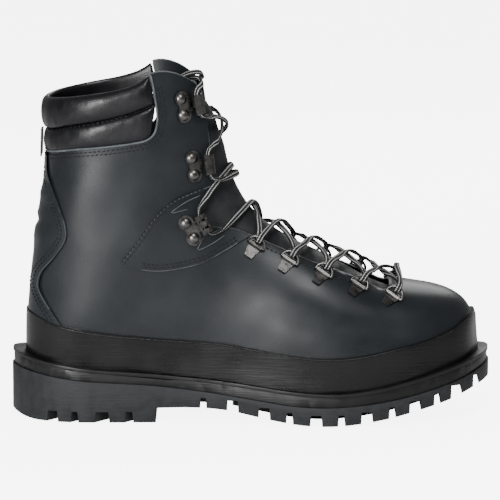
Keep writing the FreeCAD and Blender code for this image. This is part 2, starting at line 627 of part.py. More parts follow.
# Clip: a tapered foot folded round the ring's bar into a barrel.
clip_foot = bound("Part::Wedge", "clip_foot", Ymin="-Sizes.clip_length", Ymax="0",
                  Xmin="-0.5 * Sizes.clip_foot", Xmax="0.5 * Sizes.clip_foot",
                  X2min="-0.5 * Sizes.clip_width", X2max="0.5 * Sizes.clip_width",
                  Zmin="0", Z2min="0", Zmax="Sizes.clip_sheet", Z2max="Sizes.clip_sheet")
BARREL = size("ring_wire") + size("ring_running") + size("clip_sheet")
clip_barrel = bound("Part::Cylinder", "clip_barrel", Height="Sizes.clip_width",
                    Radius="Sizes.ring_wire + Sizes.ring_running + Sizes.clip_sheet")
clip_bore = bound("Part::Cylinder", "clip_bore", Height="Sizes.clip_width",
                  Radius="Sizes.ring_wire + Sizes.ring_running")
for item in (clip_barrel, clip_bore):
    item.Placement = Placement(Vector(-0.5 * size("clip_width"), 0.0, BARREL), ALONG_X)
clip_blank = joined("Part::Fuse", "clip_blank", Base=clip_foot, Tool=clip_barrel)
clip_pattern = joined("Part::Cut", "clip_pattern", Base=clip_blank, Tool=clip_bore)

# Lace hook: a plate of two round lobes, a bridge, and a strip curled back over the lace.
lobes = []
for end in (-1.0, 1.0):
    lobe = bound("Part::Cylinder", "hook_lobe", Radius="Sizes.hook_lobe", Height="Sizes.hook_sheet")
    lobe.Placement = Placement(Vector(0.0, end * 0.5 * size("hook_pitch"), 0.0), Rotation())
    lobes.append(lobe)
hook_waist = bound("Part::Box", "hook_waist", Length="1.2 * Sizes.hook_lobe", Width="Sizes.hook_pitch",
                   Height="Sizes.hook_sheet")
hook_waist.Placement = Placement(Vector(-0.6 * size("hook_lobe"), -0.5 * size("hook_pitch"), 0.0),
                                 Rotation())
hook_bridge = bound("Part::Box", "hook_bridge", Length="Sizes.hook_reach", Width="0.6 * Sizes.hook_width",
                    Height="Sizes.hook_sheet")
hook_bridge.Placement = Placement(Vector(0.0, -0.3 * size("hook_width"), 0.0), Rotation())
CURL_Z = size("hook_sheet") + 0.5 * size("hook_throat")
curl_outer = bound("Part::Cylinder", "curl_outer", Radius="Sizes.hook_sheet + 0.5 * Sizes.hook_throat",
                   Height="Sizes.hook_width")
curl_inner = bound("Part::Cylinder", "curl_inner", Radius="0.5 * Sizes.hook_throat",
                   Height="Sizes.hook_width")
for item in (curl_outer, curl_inner):
    item.Placement = Placement(Vector(size("hook_reach"), 0.5 * size("hook_width"), CURL_Z),
                               Rotation(Vector(1.0, 0.0, 0.0), 90.0))
    item.Angle = 360.0
curl_mask = bound("Part::Box", "curl_mask", Length="4 * Sizes.hook_throat", Width="2 * Sizes.hook_width",
                  Height="4 * Sizes.hook_throat")
curl_mask.Placement = Placement(Vector(size("hook_reach"), -size("hook_width"), -size("hook_throat")),
                                Rotation())
curl_ring = joined("Part::Cut", "curl_ring", Base=curl_outer, Tool=curl_inner)
hook_curl = joined("Part::Common", "hook_curl", Base=curl_ring, Tool=curl_mask)
hook_lip = bound("Part::Box", "hook_lip", Length="Sizes.hook_lip", Width="Sizes.hook_width",
                 Height="Sizes.hook_sheet")
LIP_Z = size("hook_sheet") + size("hook_throat")
LIP_X = size("hook_reach") - size("hook_lip")
hook_lip.Placement = Placement(Vector(LIP_X, -0.5 * size("hook_width"), LIP_Z), Rotation())
hook_pattern = joined("Part::MultiFuse", "hook_pattern",
                      Shapes=lobes + [hook_waist, hook_bridge, hook_curl, hook_lip])
lip_slots = []
for end in (-1.0, 1.0):
    slot = bound("Part::Box", "lip_slot", Length="Sizes.hook_lip + 0.5 * Sizes.hook_throat",
                 Width="0.12 * Sizes.hook_width", Height="2 * Sizes.hook_sheet")
    slot.Placement = Placement(Vector(size("hook_reach") - size("hook_lip") + size("hook_sheet"),
                                      (0.2 * end - 0.06) * size("hook_width"), LIP_Z - 0.4), Rotation())
    lip_slots.append(slot)
slot_pair = joined("Part::MultiFuse", "slot_pair", Shapes=lip_slots)
locking_pattern = joined("Part::Cut", "locking_pattern", Base=hook_pattern, Tool=slot_pair)

# Rivet: a low domed head on a short shank that is pressed into the leather.
DOME_BALL = "((Sizes.rivet_head ^ 2 + Sizes.rivet_dome ^ 2) / (2 * Sizes.rivet_dome))"
rivet_dome = bound("Part::Sphere", "rivet_dome", Radius=DOME_BALL,
                   Angle1="asin(1 - Sizes.rivet_dome / " + DOME_BALL + ")")
ball_radius = (size("rivet_head") ** 2 + size("rivet_dome") ** 2) / (2.0 * size("rivet_dome"))
rivet_dome.Placement = Placement(Vector(0.0, 0.0, size("rivet_dome") - ball_radius), Rotation())
rivet_shank = bound("Part::Cylinder", "rivet_shank", Radius="Sizes.rivet_shank",
                    Height="Sizes.hook_sheet + Sizes.leather_thick")
RIVET_FOOT = 0.3 - size("hook_sheet") - size("leather_thick")
rivet_shank.Placement = Placement(Vector(0.0, 0.0, RIVET_FOOT), Rotation())
rivet_pattern = joined("Part::Fuse", "rivet_pattern", Base=rivet_dome, Tool=rivet_shank)
DOC.recompute()


def fitting_frame(x, z, side, lean, lift):
    """Placement of a fitting on the upper: its Z points out and its Y up, leaning to the heel.

    The spot is given in the drawing's proportions, the lean in degrees and the lift in
    millimetres above the leather.
    """
    place, turn = side_point(x * SCALE_X, z * SCALE_Z, side)
    normal = surface_normal(place, turn)
    spot = surface_point(place, turn) + normal * lift
    upward = Vector(-math.sin(math.radians(lean)), 0.0, math.cos(math.radians(lean)))
    upward = (upward - normal * upward.dot(normal)).normalize()
    toeward = upward.cross(normal)
    return Placement(Matrix(toeward.x, upward.x, normal.x, spot.x,
                            toeward.y, upward.y, normal.y, spot.y,
                            toeward.z, upward.z, normal.z, spot.z, 0.0, 0.0, 0.0, 1.0))


def placed(pattern, placement, mirrored=False):
    """A copy of a pattern's shape at a placement; mirrored turns it for the inner side."""
    shape = pattern.Shape.copy()
    if mirrored:
        shape = shape.mirror(Vector(0.0, 0.0, 0.0), Vector(1.0, 0.0, 0.0))
    shape.Placement = placement.multiply(shape.Placement)
    return shape


SIDES = (("lateral", -1.0), ("medial", 1.0))
CLIP_LIFT = 0.15
RING_SPOTS = [(3.0, 115.5), (25.0, 105.5), (47.0, 97.2), (70.0, 88.6), (93.0, 81.0)]
RING_LEAN = -33.0
RING_RISE = 45.0
HOOK_SPOTS = [("lower", -40.0, 126.0, 28.0), ("middle", -37.5, 167.5, 7.0), ("upper", -44.5, 206.5, 11.0)]
PATCH_LIFT = {"lower": size("overlay_thick") + 4.0 * GAP, "middle": 2.0 * GAP, "upper": 6.0 * GAP}

for side_name, side_sign in SIDES:
    clips = []
    for number, (x, z) in enumerate(RING_SPOTS, start=1):
        frame = fitting_frame(x, z, side_sign, RING_LEAN, CLIP_LIFT)
        clips.append(placed(clip_pattern, frame))
        raised = frame.multiply(Placement(Vector(0.0, 0.0, BARREL),
                                          Rotation(Vector(1.0, 0.0, 0.0), RING_RISE)))
        ring_name = "ring_%s_%d" % (side_name, number)
        keep(ring_name, placed(ring_pattern, raised))
    keep_group("ring_clips_" + side_name, clips)
    rivets = []
    for hook_name, x, z, lean in HOOK_SPOTS:
        frame = fitting_frame(x, z, side_sign, lean, PATCH_LIFT[hook_name])
        pattern = locking_pattern if hook_name == "lower" else hook_pattern
        keep("hook_%s_%s" % (hook_name, side_name), placed(pattern, frame, side_sign > 0.0))
        for end in (-1.0, 1.0):
            seat = Placement(Vector(0.0, end * 0.5 * size("hook_pitch"), size("hook_sheet")), Rotation())
            rivets.append(placed(rivet_pattern, frame.multiply(seat)))
    keep_group("hook_rivets_" + side_name, rivets)

# --------------------------------------------------------------------------- lace

# The lace's route: both ends hang inside the shaft, and from there it zigzags through the hooks
# and rings.  The points beside the rings and hooks began as a rounded draft worked out from the
# fittings' places; the spans, crests and tails are chosen by hand.  "Outer" is the lateral side.
LACE_ROUTE = [
    # outer end, up from the shaft and over the tongue
    (-60.0, -13.0, 150.0), (-60.0, -13.0, 164.0), (-60.5, -12.5, 182.0), (-59.0, -11.5, 201.0),
    (-53.0, -10.5, 214.5), (-43.5, -10.5, 223.0), (-33.5, -15.0, 224.5), (-31.0, -22.5, 221.0),
    # outer upper hook, down through it, and over to the inner side
    (-36.0, -28.0, 216.5), (-33.0, -26.5, 199.5), (-26.5, -21.5, 199.5), (-20.8, -13.0, 198.0),
    (-15.8, -4.0, 194.0), (-15.3, 5.0, 190.0), (-18.0, 14.0, 185.5), (-23.0, 22.0, 181.0),
    # inner middle hook
    (-28.5, 28.0, 177.5), (-26.5, 28.5, 160.5), (-20.0, 23.2, 158.8), (-14.2, 14.0, 162.4),
    (-11.6, 3.0, 164.8), (-13.8, -9.0, 163.9), (-19.3, -20.2, 158.9), (-25.8, -29.0, 151.8),
    (-30.4, -34.6, 145.4),
    # outer lower hook
    (-35.0, -36.0, 138.5), (-27.0, -35.5, 123.0), (-19.5, -34.0, 125.5), (-11.5, -26.0, 132.0),
    (-4.0, -15.0, 138.0), (1.0, -4.0, 141.5), (3.0, 5.0, 139.5), (5.0, 15.5, 133.5),
    # inner ring 1
    (6.5, 25.0, 125.5), (4.8, 23.2, 120.2), (5.3, 28.8, 118.2), (7.5, 30.5, 122.8),
    (12.0, 19.0, 124.5), (15.5, 6.0, 126.4), (19.5, -7.0, 125.0), (24.5, -19.5, 121.5),
    # outer ring 2
    (28.5, -30.5, 115.5), (26.8, -29.2, 110.2), (26.8, -35.2, 109.2), (29.0, -36.5, 113.8),
    (34.5, -24.0, 115.5), (38.5, -11.0, 117.2), (42.0, 1.0, 117.0), (46.5, 15.0, 112.5),
    # inner ring 3
    (50.5, 27.5, 107.5), (49.3, 27.2, 101.7), (48.8, 33.2, 101.2), (51.0, 34.5, 106.3),
    (57.0, 21.5, 105.5), (60.5, 9.0, 105.2), (64.5, -3.5, 104.2), (69.0, -15.5, 102.0),
    # outer ring 4
    (74.0, -26.5, 98.5), (71.8, -27.2, 92.7), (72.7, -33.6, 93.1), (75.5, -33.0, 97.8),
    (79.5, -21.0, 97.5), (83.5, -8.0, 97.6), (88.0, 4.5, 96.5), (93.0, 16.0, 94.0),
    # inner ring 5, and straight across
    (97.5, 27.0, 90.5), (95.3, 28.2, 85.2), (94.9, 34.1, 85.7), (97.0, 34.5, 90.8),
    (97.0, 22.0, 95.3), (96.4, 9.0, 96.0), (96.6, -4.5, 95.8), (97.2, -18.0, 94.6),
    # outer ring 5
    (98.0, -31.0, 90.8), (95.3, -30.7, 85.7), (95.3, -24.7, 85.2), (97.5, -23.5, 90.5),
    (92.5, -12.5, 92.8), (88.0, -1.0, 93.3), (84.0, 10.5, 94.0), (80.5, 22.0, 95.5),
    # inner ring 4
    (75.0, 34.0, 98.3), (72.3, 34.2, 93.2), (72.3, 28.2, 92.7), (74.0, 27.0, 98.5),
    (70.0, 15.5, 103.0), (66.0, 3.5, 107.2), (62.0, -9.0, 108.3), (58.0, -23.0, 107.5),
    # outer ring 3
    (52.0, -36.5, 106.3), (49.3, -36.2, 101.2), (49.3, -30.2, 101.7), (50.5, -30.0, 107.5),
    (46.5, -17.5, 111.5), (42.0, -4.5, 113.6), (38.0, 8.0, 114.4), (34.0, 20.5, 114.0),
    # inner ring 2
    (28.5, 32.0, 114.3), (26.8, 30.2, 109.2), (27.3, 24.2, 110.2), (28.5, 25.5, 116.0),
    (25.0, 14.5, 121.5), (21.5, 2.5, 127.6), (17.5, -9.5, 129.2), (11.5, -24.5, 126.0),
    # outer ring 1
    (7.0, -36.0, 122.8), (4.8, -34.2, 118.2), (4.8, -28.2, 120.2), (6.0, -30.5, 125.5),
    (5.0, -18.5, 131.5), (3.5, -7.0, 136.0), (0.5, 3.0, 139.0), (-4.5, 14.0, 136.0),
    (-12.0, 25.0, 130.5), (-19.5, 33.0, 125.5),
    # inner lower hook
    (-27.0, 35.0, 123.0), (-34.5, 36.0, 138.5), (-30.0, 33.5, 146.0), (-24.0, 26.5, 151.5),
    (-15.5, 16.0, 156.5), (-8.5, 4.0, 159.5), (-8.5, -7.5, 160.0), (-13.0, -18.5, 159.5),
    (-20.5, -26.5, 158.0),
    # outer middle hook
    (-26.5, -28.5, 160.5), (-28.5, -28.0, 177.5), (-23.0, -22.0, 181.0), (-19.5, -13.0, 186.3),
    (-18.6, -4.0, 190.6), (-19.3, 5.0, 194.6), (-21.8, 14.0, 198.0), (-26.5, 21.5, 199.5),
    # inner upper hook, over the tongue and down into the shaft
    (-33.0, 26.5, 199.5), (-36.0, 28.0, 216.5), (-31.0, 22.5, 221.0), (-34.0, 15.0, 224.5),
    (-44.0, 10.5, 223.0), (-53.5, 11.0, 214.0), (-59.0, 12.0, 200.5), (-60.5, 13.0, 181.5),
    (-60.0, 13.0, 164.0), (-60.0, 13.0, 150.0),
]
BEND_SHARE = 0.45


def cord_path(points):
    """Wire of straight runs joined by tangent arcs, each as large as its shorter run allows."""
    edges = []
    radii = []
    start = points[0]
    for before, corner, after in zip(points, points[1:], points[2:]):
        arriving = corner - before
        leaving = after - corner
        cut = BEND_SHARE * min(arriving.Length, leaving.Length)
        turn = arriving.getAngle(leaving)
        arriving.normalize()
        leaving.normalize()
        arc_start = corner - arriving * cut
        arc_end = corner + leaving * cut
        radius = cut / math.tan(0.5 * turn)
        inward = (leaving - arriving).normalize()
        arc_middle = corner + inward * (math.hypot(radius, cut) - radius)
        edges.append(Part.LineSegment(start, arc_start).toShape())
        edges.append(Part.Arc(arc_start, arc_middle, arc_end).toShape())
        radii.append(radius)
        start = arc_end
    edges.append(Part.LineSegment(start, points[-1]).toShape())
    return Part.Wire(edges), radii


lace_points = [Vector(*point) for point in LACE_ROUTE]
lace_path, lace_radii = cord_path(lace_points)
lace_radius = 0.5 * size("lace_diameter")
lace_end = Part.Wire([Part.makeCircle(lace_radius, lace_points[0], lace_points[1] - lace_points[0])])
lace_tube = lace_path.makePipeShell([lace_end], True, False)
keep("lace", lace_tube)
lace_volume = math.pi * lace_radius ** 2 * lace_path.Length
print("lace radii", " ".join("%.1f" % radius for radius in lace_radii))
print("lace length %.0f, volume %.0f of %.0f" % (lace_path.Length, lace_tube.Volume, lace_volume))

# Aglets: the stiff tips that the lace ends in, hanging straight down.
for side_name, end_point in (("lateral", lace_points[0]), ("medial", lace_points[-1])):
    aglet = bound("Part::Cylinder", "aglet_" + side_name, Radius="0.5 * Sizes.aglet_diameter",
                  Height="Sizes.aglet_length")
    aglet.Placement = Placement(end_point - Vector(0.0, 0.0, size("aglet_length")), Rotation())
    aglet.Label = "aglet_" + side_name
    PIECES["aglet_" + side_name] = aglet

# --------------------------------------------------------------------------- check and export

os.makedirs("parts", exist_ok=True)
DOC.recompute()
for item in DOC.Objects:
    if "Invalid" in item.State or "Error" in item.State:
        raise RuntimeError("%s failed to recompute" % item.Name)
for name, piece in PIECES.items():
    if piece.Shape.isNull() or not piece.Shape.isValid():
        raise RuntimeError("%s has no valid shape" % name)
for name, piece in PIECES.items():
    piece.Shape.exportStep(os.path.join("parts", name + ".step"))
    print("%-24s %10.0f cubic mm, %d solids" % (name, piece.Shape.Volume, len(piece.Shape.Solids)))
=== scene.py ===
"""Visual model of a mountaineering boot: skins, rolls, seams, stitches and lace round its frame.

All sizes are metres in the frame's own axes: +X to the toe, +Y to the inner side, +Z up.  The
side view outlines and the foot form are written in millimetres and scaled by MM.
"""
import logging
import math
from dataclasses import dataclass
from enum import Enum
from typing import Callable, Sequence

import bpy
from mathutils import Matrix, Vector, noise


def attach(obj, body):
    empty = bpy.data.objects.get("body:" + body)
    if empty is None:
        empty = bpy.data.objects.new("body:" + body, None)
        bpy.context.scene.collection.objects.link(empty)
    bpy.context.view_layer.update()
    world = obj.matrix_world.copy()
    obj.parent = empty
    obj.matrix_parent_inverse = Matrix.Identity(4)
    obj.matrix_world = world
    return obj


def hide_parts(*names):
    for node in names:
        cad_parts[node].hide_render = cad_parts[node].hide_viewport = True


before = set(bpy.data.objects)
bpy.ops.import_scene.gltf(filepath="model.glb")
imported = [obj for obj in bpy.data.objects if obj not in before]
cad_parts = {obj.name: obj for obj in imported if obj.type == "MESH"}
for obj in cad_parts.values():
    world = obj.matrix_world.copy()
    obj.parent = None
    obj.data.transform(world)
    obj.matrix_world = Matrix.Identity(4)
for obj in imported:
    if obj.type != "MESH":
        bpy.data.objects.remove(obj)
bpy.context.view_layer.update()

LOG = logging.getLogger("boot")
MM = 0.001
TAU = 2.0 * math.pi
BODY = "boot"
FAR = 90.0  # millimetres: further out to a side than the boot
SKY = 290.0  # millimetres: higher than the boot
MERGE_GAP = 0.00002

Spot = tuple[float, float]
Lift = Callable[[float, float], float]


# --------------------------------------------------------------------------- helpers

def clear_selection() -> None:
    """Deselect everything before an operator runs."""
    bpy.ops.object.select_all(action="DESELECT")


def use(piece: bpy.types.Object) -> None:
    """Make one piece the only selected and the active object.

    Args:
        piece: the object that the next operators act on.
    """
    clear_selection()
    piece.select_set(True)
    bpy.context.view_layer.objects.active = piece


def mesh_piece(name: str, points: Sequence[Vector], faces: Sequence[Sequence[int]]) -> bpy.types.Object:
    """Make an object at the origin from points and faces.

    Args:
        name: the object's name.
        points: corner positions in metres.
        faces: corner numbers of each face.

    Returns:
        The new object, linked to the scene.
    """
    mesh = bpy.data.meshes.new(name)
    mesh.from_pydata([tuple(point) for point in points], [], [tuple(face) for face in faces])
    mesh.update()
    piece = bpy.data.objects.new(name, mesh)
    bpy.context.scene.collection.objects.link(piece)
    return piece


def merge(piece: bpy.types.Object) -> None:
    """Merge points that lie on each other.

    Args:
        piece: the object to clean.
    """
    use(piece)
    bpy.ops.object.mode_set(mode="EDIT")
    bpy.ops.mesh.select_all(action="SELECT")
    bpy.ops.mesh.remove_doubles(threshold=MERGE_GAP)
    bpy.ops.object.mode_set(mode="OBJECT")


def recalculate(piece: bpy.types.Object) -> None:
    """Merge doubles and turn all faces outwards.

    Args:
        piece: the object to clean.
    """
    merge(piece)
    bpy.ops.object.mode_set(mode="EDIT")
    bpy.ops.mesh.select_all(action="SELECT")
    bpy.ops.mesh.normals_make_consistent(inside=False)
    bpy.ops.object.mode_set(mode="OBJECT")


def smooth(piece: bpy.types.Object, degrees: float = 40.0) -> None:
    """Shade smooth across edges flatter than an angle.

    Args:
        piece: the object to shade.
        degrees: sharpest edge that still looks soft.
    """
    use(piece)
    bpy.ops.object.shade_smooth_by_angle(angle=math.radians(degrees))


def apply(piece: bpy.types.Object, kind: str, **settings: object) -> None:
    """Add one modifier to a piece and apply it.

    Args:
        piece: the object to change.
        kind: the modifier's type.
        **settings: values for the modifier's properties.
    """
    modifier = piece.modifiers.new(kind.title(), kind)
    for key, value in settings.items():
        setattr(modifier, key, value)
    use(piece)
    bpy.ops.object.modifier_apply(modifier=modifier.name)


def dress(piece: bpy.types.Object, finish: "Finish", body: str = BODY) -> None:
    """Give a piece its material and the body it rides on.

    Args:
        piece: the object to dress.
        finish: its surface finish.
        body: the body that carries it.
    """
    piece.data.materials.clear()
    piece.data.materials.append(finish.material())
    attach(piece, body)
    LOG.info("%s: %d faces", piece.name, len(piece.data.polygons))


def blend(rows: Sequence[Sequence[float]], part: float) -> list[float]:
    """Smooth value of each column between the two middle rows of four.

    Args:
        rows: the two rows before the wanted place and the two after it.
        part: share of the way from the second row to the third.

    Returns:
        One value for each column.
    """
    return [0.5 * (2.0 * b + (c - a) * part + (2.0 * a - 5.0 * b + 4.0 * c - d) * part ** 2
                   + (3.0 * b - a - 3.0 * c + d) * part ** 3) for a, b, c, d in zip(*rows)]


def curve_through(points: Sequence[Spot], steps: int = 6) -> list[Spot]:
    """Smooth run through points; a run of two stays straight.

    Args:
        points: side view points in millimetres.
        steps: new points for each interval.

    Returns:
        The run's points, both ends included.
    """
    if len(points) == 2:
        return list(points)
    out: list[Spot] = []
    for index in range(len(points) - 1):
        rows = [points[min(max(index + shift, 0), len(points) - 1)] for shift in (-1, 0, 1, 2)]
        out += [tuple(blend(rows, step / steps)) for step in range(steps)]
    out.append(tuple(points[-1]))
    return out


def height(line: Sequence[Spot], x: float) -> float:
    """Height of a side view line at x, all in millimetres."""
    for (x_low, z_low), (x_high, z_high) in zip(line, line[1:]):
        if x_low <= x <= x_high:
            return z_low + (z_high - z_low) * (x - x_low) / (x_high - x_low)
    return line[0][1] if x < line[0][0] else line[-1][1]


def ease(value: float) -> float:
    """Smooth step from 0 to 1."""
    value = min(max(value, 0.0), 1.0)
    return value * value * (3.0 - 2.0 * value)


# --------------------------------------------------------------------------- the foot form

@dataclass(frozen=True)
class Last:
    """Foot form that the upper is drawn over, as closed ribs from the toe to the collar.

    Each rib holds front x, front z, back x, back z, half width, middle y, place of its widest
    point, and its front and back roundness, in millimetres.
    """

    ribs: tuple[tuple[float, ...], ...] = (
        (146.8, 64.0, 146.8, 22.0, 9.5, 7.4, 0.55, 2.6, 3.0),
        (143.6, 70.5, 143.6, 18.0, 18.4, 6.8, 0.57, 2.5, 3.4),
        (138.6, 76.2, 138.6, 14.0, 26.0, 6.0, 0.58, 2.4, 3.6),
        (130.0, 81.5, 130.0, 10.0, 33.2, 5.0, 0.58, 2.3, 3.8),
        (118.0, 85.2, 118.0, 6.0, 39.6, 3.6, 0.60, 2.3, 4.0),
        (104.0, 87.5, 104.0, 3.0, 44.2, 2.4, 0.60, 2.3, 4.0),
        (88.0, 90.5, 88.0, 1.0, 46.8, 1.2, 0.60, 2.3, 4.0),
        (70.0, 99.0, 69.0, 0.0, 48.2, 0.2, 0.61, 2.2, 4.0),
        (50.0, 109.0, 47.0, 0.0, 47.2, -1.2, 0.62, 2.2, 4.0),
        (30.0, 118.5, 24.0, 0.0, 43.2, -2.4, 0.63, 2.2, 4.0),
        (15.0, 128.0, 0.0, 2.0, 38.6, -2.8, 0.62, 2.2, 3.8),
        (3.0, 139.0, -24.0, 4.0, 35.6, -2.4, 0.60, 2.2, 3.6),
        (-4.0, 149.0, -52.0, 5.0, 34.6, -1.4, 0.57, 2.2, 3.4),
        (-9.0, 160.0, -85.0, 6.0, 35.2, -0.5, 0.54, 2.2, 3.1),
        (-12.0, 170.0, -117.0, 10.0, 36.0, 0.0, 0.50, 2.2, 2.9),
        (-14.5, 180.0, -141.0, 22.0, 36.6, 0.0, 0.48, 2.2, 2.6),
        (-17.0, 188.0, -146.5, 48.0, 36.8, 0.0, 0.47, 2.2, 2.4),
        (-19.5, 196.0, -145.0, 78.0, 36.8, 0.0, 0.47, 2.2, 2.3),
        (-22.5, 205.0, -141.8, 108.0, 36.8, 0.0, 0.48, 2.2, 2.3),
        (-26.0, 215.0, -137.5, 133.0, 37.0, 0.0, 0.50, 2.2, 2.3),
        (-29.5, 226.0, -134.5, 156.0, 37.4, 0.0, 0.50, 2.3, 2.3),
        (-33.0, 238.0, -133.0, 182.0, 38.0, 0.0, 0.50, 2.3, 2.3),
        (-37.0, 252.0, -133.5, 210.0, 38.6, 0.0, 0.50, 2.3, 2.3),
        (-42.0, 268.0, -134.0, 240.0, 39.0, 0.0, 0.50, 2.3, 2.3),
    )
    tip_swell: float = 1.4
    small: float = 0.001
    small_turn: float = 0.03
    tip_pole: float = -0.9
    tip_limit: float = -0.97

    @property
    def top(self) -> int:
        """Place of the last rib."""
        return len(self.ribs) - 1

    def rib(self, place: float) -> list[float]:
        """Rib values at a place counted in ribs, smooth through each rib."""
        first = min(max(int(math.floor(place)), 0), self.top - 1)
        part = place - first
        rows = [self.ribs[min(max(first + shift, 0), self.top)] for shift in (-1, 0, 1, 2)]
        return blend(rows, part)

    def point(self, place: float, turn: float) -> Vector:
        """Point in metres; turn 0 is the instep side, a quarter turn the inner side.

        Args:
            place: place counted in ribs; below 0 it closes the tip of the toe.
            turn: angle round the rib.

        Returns:
            The point on the form.
        """
        shrink = 1.0 + min(place, 0.0)
        front_x, front_z, back_x, back_z, half, middle, widest, front, back = self.rib(max(place, 0.0))
        along, across = math.cos(turn), math.sin(turn)
        power = 2.0 / (front if along > 0.0 else back)
        reach = widest if along > 0.0 else 1.0 - widest
        share = widest - math.copysign(abs(along) ** power, along) * reach
        share = widest + (share - widest) * shrink
        wide = half * math.copysign(abs(across) ** power, across) * shrink
        swell = self.tip_swell * (1.0 - shrink * shrink)
        return Vector((front_x + (back_x - front_x) * share + swell, middle + wide,
                       front_z + (back_z - front_z) * share)) * MM

    def normal(self, place: float, turn: float) -> Vector:
        """Outward direction at a place and turn."""
        if place < self.tip_pole:
            return Vector((1.0, 0.0, 0.0))
        inside = min(max(place, self.tip_limit), self.top - self.small)
        up = self.point(inside + self.small, turn) - self.point(inside - self.small, turn)
        round_way = self.point(inside, turn + self.small_turn) - self.point(inside, turn - self.small_turn)
        return round_way.cross(up).normalized()

    def at(self, x: float, z: float, side: int) -> tuple[float, float]:
        """Place and turn where a side view shows x and z.

        Args:
            x: millimetres along the boot.
            z: height in millimetres.
            side: -1 for the outer side, 1 for the inner.

        Returns:
            The place and the turn.
        """
        def beyond(place: float) -> float:
            rib = self.rib(place)
            return (rib[2] - rib[0]) * (z - rib[1]) - (rib[3] - rib[1]) * (x - rib[0])
        low, high = 0.0, float(self.top)
        sign = beyond(low)
        for _ in range(40):
            middle = 0.5 * (low + high)
            if beyond(middle) * sign > 0.0:
                low = middle
            else:
                high = middle
        rib = self.rib(low)
        run_x, run_z = rib[2] - rib[0], rib[3] - rib[1]
        share = ((x - rib[0]) * run_x + (z - rib[1]) * run_z) / (run_x ** 2 + run_z ** 2)
        widest = rib[6]
        if share < widest:
            along = min((widest - share) / widest, 1.0) ** (rib[7] / 2.0)
        else:
            along = -min((share - widest) / (1.0 - widest), 1.0) ** (rib[8] / 2.0)
        return low, side * math.acos(along)

    def spot(self, x: float, z: float, side: int, lift: float) -> tuple[Vector, Vector]:
        """Point above the form at a side view spot, and the direction out of it.

        Args:
            x: millimetres along the boot.
            z: height in millimetres.
            side: -1 outer, 1 inner.
            lift: millimetres above the form.

        Returns:
            The point in metres and the outward direction.
        """
        place, turn = self.at(x, z, side)
        out = self.normal(place, turn)
        return self.point(place, turn) + out * lift * MM, out


LAST = Last()


def wall(name: str, outside: Lift, thick: float, steps: tuple[int, int] = (4, 128),
         low: float = -1.0) -> bpy.types.Object:
    """Closed skin of even thickness round the whole form.

    Args:
        name: the object's name.
        outside: millimetres of its outer face above the form, from place and turn.
        thick: its thickness in millimetres.
        steps: rows for each rib and columns round it.
        low: place where it starts.

    Returns:
        The new object.
    """
    rows = int((LAST.top - low) * steps[0])
    columns = steps[1]
    clear_selection()
    bpy.ops.mesh.primitive_grid_add(x_subdivisions=rows, y_subdivisions=columns, size=2.0)
    piece = bpy.context.active_object
    piece.name = piece.data.name = name
    for vertex in piece.data.vertices:
        place = low + (LAST.top - low) * 0.5 * (vertex.co.x + 1.0)
        turn = math.pi - TAU * 0.5 * (vertex.co.y + 1.0)
        vertex.co = LAST.point(place, turn) + LAST.normal(place, turn) * outside(place, turn) * MM
    merge(piece)
    apply(piece, "SOLIDIFY", thickness=thick * MM, offset=-1.0, use_rim=True, use_even_offset=False)
    return piece


def slab(runs: Sequence[Sequence[Spot]], y_low: float = -FAR, y_high: float = FAR) -> bpy.types.Object:
    """Solid whose side view is closed by runs of points, used to trim a skin.

    Args:
        runs: runs of side view points that join end to end.
        y_low: its outer side in millimetres.
        y_high: its inner side.

    Returns:
        The new object.
    """
    outline: list[Spot] = []
    for run in runs:
        outline += curve_through(run)[:-1]
    count = len(outline)
    points = [Vector((x, y, z)) * MM for y in (y_low, y_high) for x, z in outline]
    faces = [tuple(range(count)), tuple(reversed(range(count, 2 * count)))]
    faces += [(i, (i + 1) % count, count + (i + 1) % count, count + i) for i in range(count)]
    piece = mesh_piece("trim", points, faces)
    recalculate(piece)
    return piece


def trim(piece: bpy.types.Object, tool: bpy.types.Object, operation: str) -> None:
    """Cut a piece with a tool, or keep what lies inside it, and delete the tool.

    Args:
        piece: the object to trim.
        tool: the trimming solid.
        operation: DIFFERENCE or INTERSECT.
    """
    apply(piece, "BOOLEAN", operation=operation, object=tool, solver="EXACT")
    bpy.data.objects.remove(tool)
    if not piece.data.polygons:
        raise RuntimeError("%s is empty after %s" % (piece.name, operation))


# --------------------------------------------------------------------------- side view lines

WELT_LINE = [(-160.0, 44.6), (-134.0, 39.0), (-113.0, 35.8), (-92.0, 33.8), (-71.0, 32.5),
             (-50.0, 30.6), (-29.0, 28.8), (0.0, 25.6), (21.0, 23.0), (42.0, 21.4), (60.0, 21.4),
             (76.0, 23.2), (95.0, 26.8), (116.0, 32.0), (137.0, 37.6), (160.0, 44.0)]
RAND_LINE = [(-160.0, 72.0), (-148.0, 70.0), (-134.0, 65.0), (-121.0, 62.0), (-92.0, 57.6),
             (-50.0, 54.2), (-20.0, 52.4), (0.0, 49.6), (25.0, 45.6), (50.0, 43.8), (73.0, 45.4),
             (95.0, 49.8), (116.0, 54.4), (131.0, 59.0), (144.0, 66.0), (160.0, 76.0)]
TOP_LINE = [(-160.0, 206.0), (-133.0, 211.0), (-114.0, 214.0), (-102.0, 216.0), (-89.0, 218.2),
            (-77.0, 221.5), (-70.0, 225.0), (-65.0, 228.8)]
QUARTER_TOP = [(-65.0, 228.8), (-60.0, 229.9), (-54.0, 229.6), (-48.0, 228.0), (-42.0, 225.0),
               (-36.0, 220.6), (-31.0, 214.0)]
FACING_EDGE = [(-31.0, 214.0), (-29.0, 197.5), (-27.0, 183.5), (-26.0, 170.0), (-26.0, 156.0),
               (-29.0, 144.0), (-33.0, 136.0)]
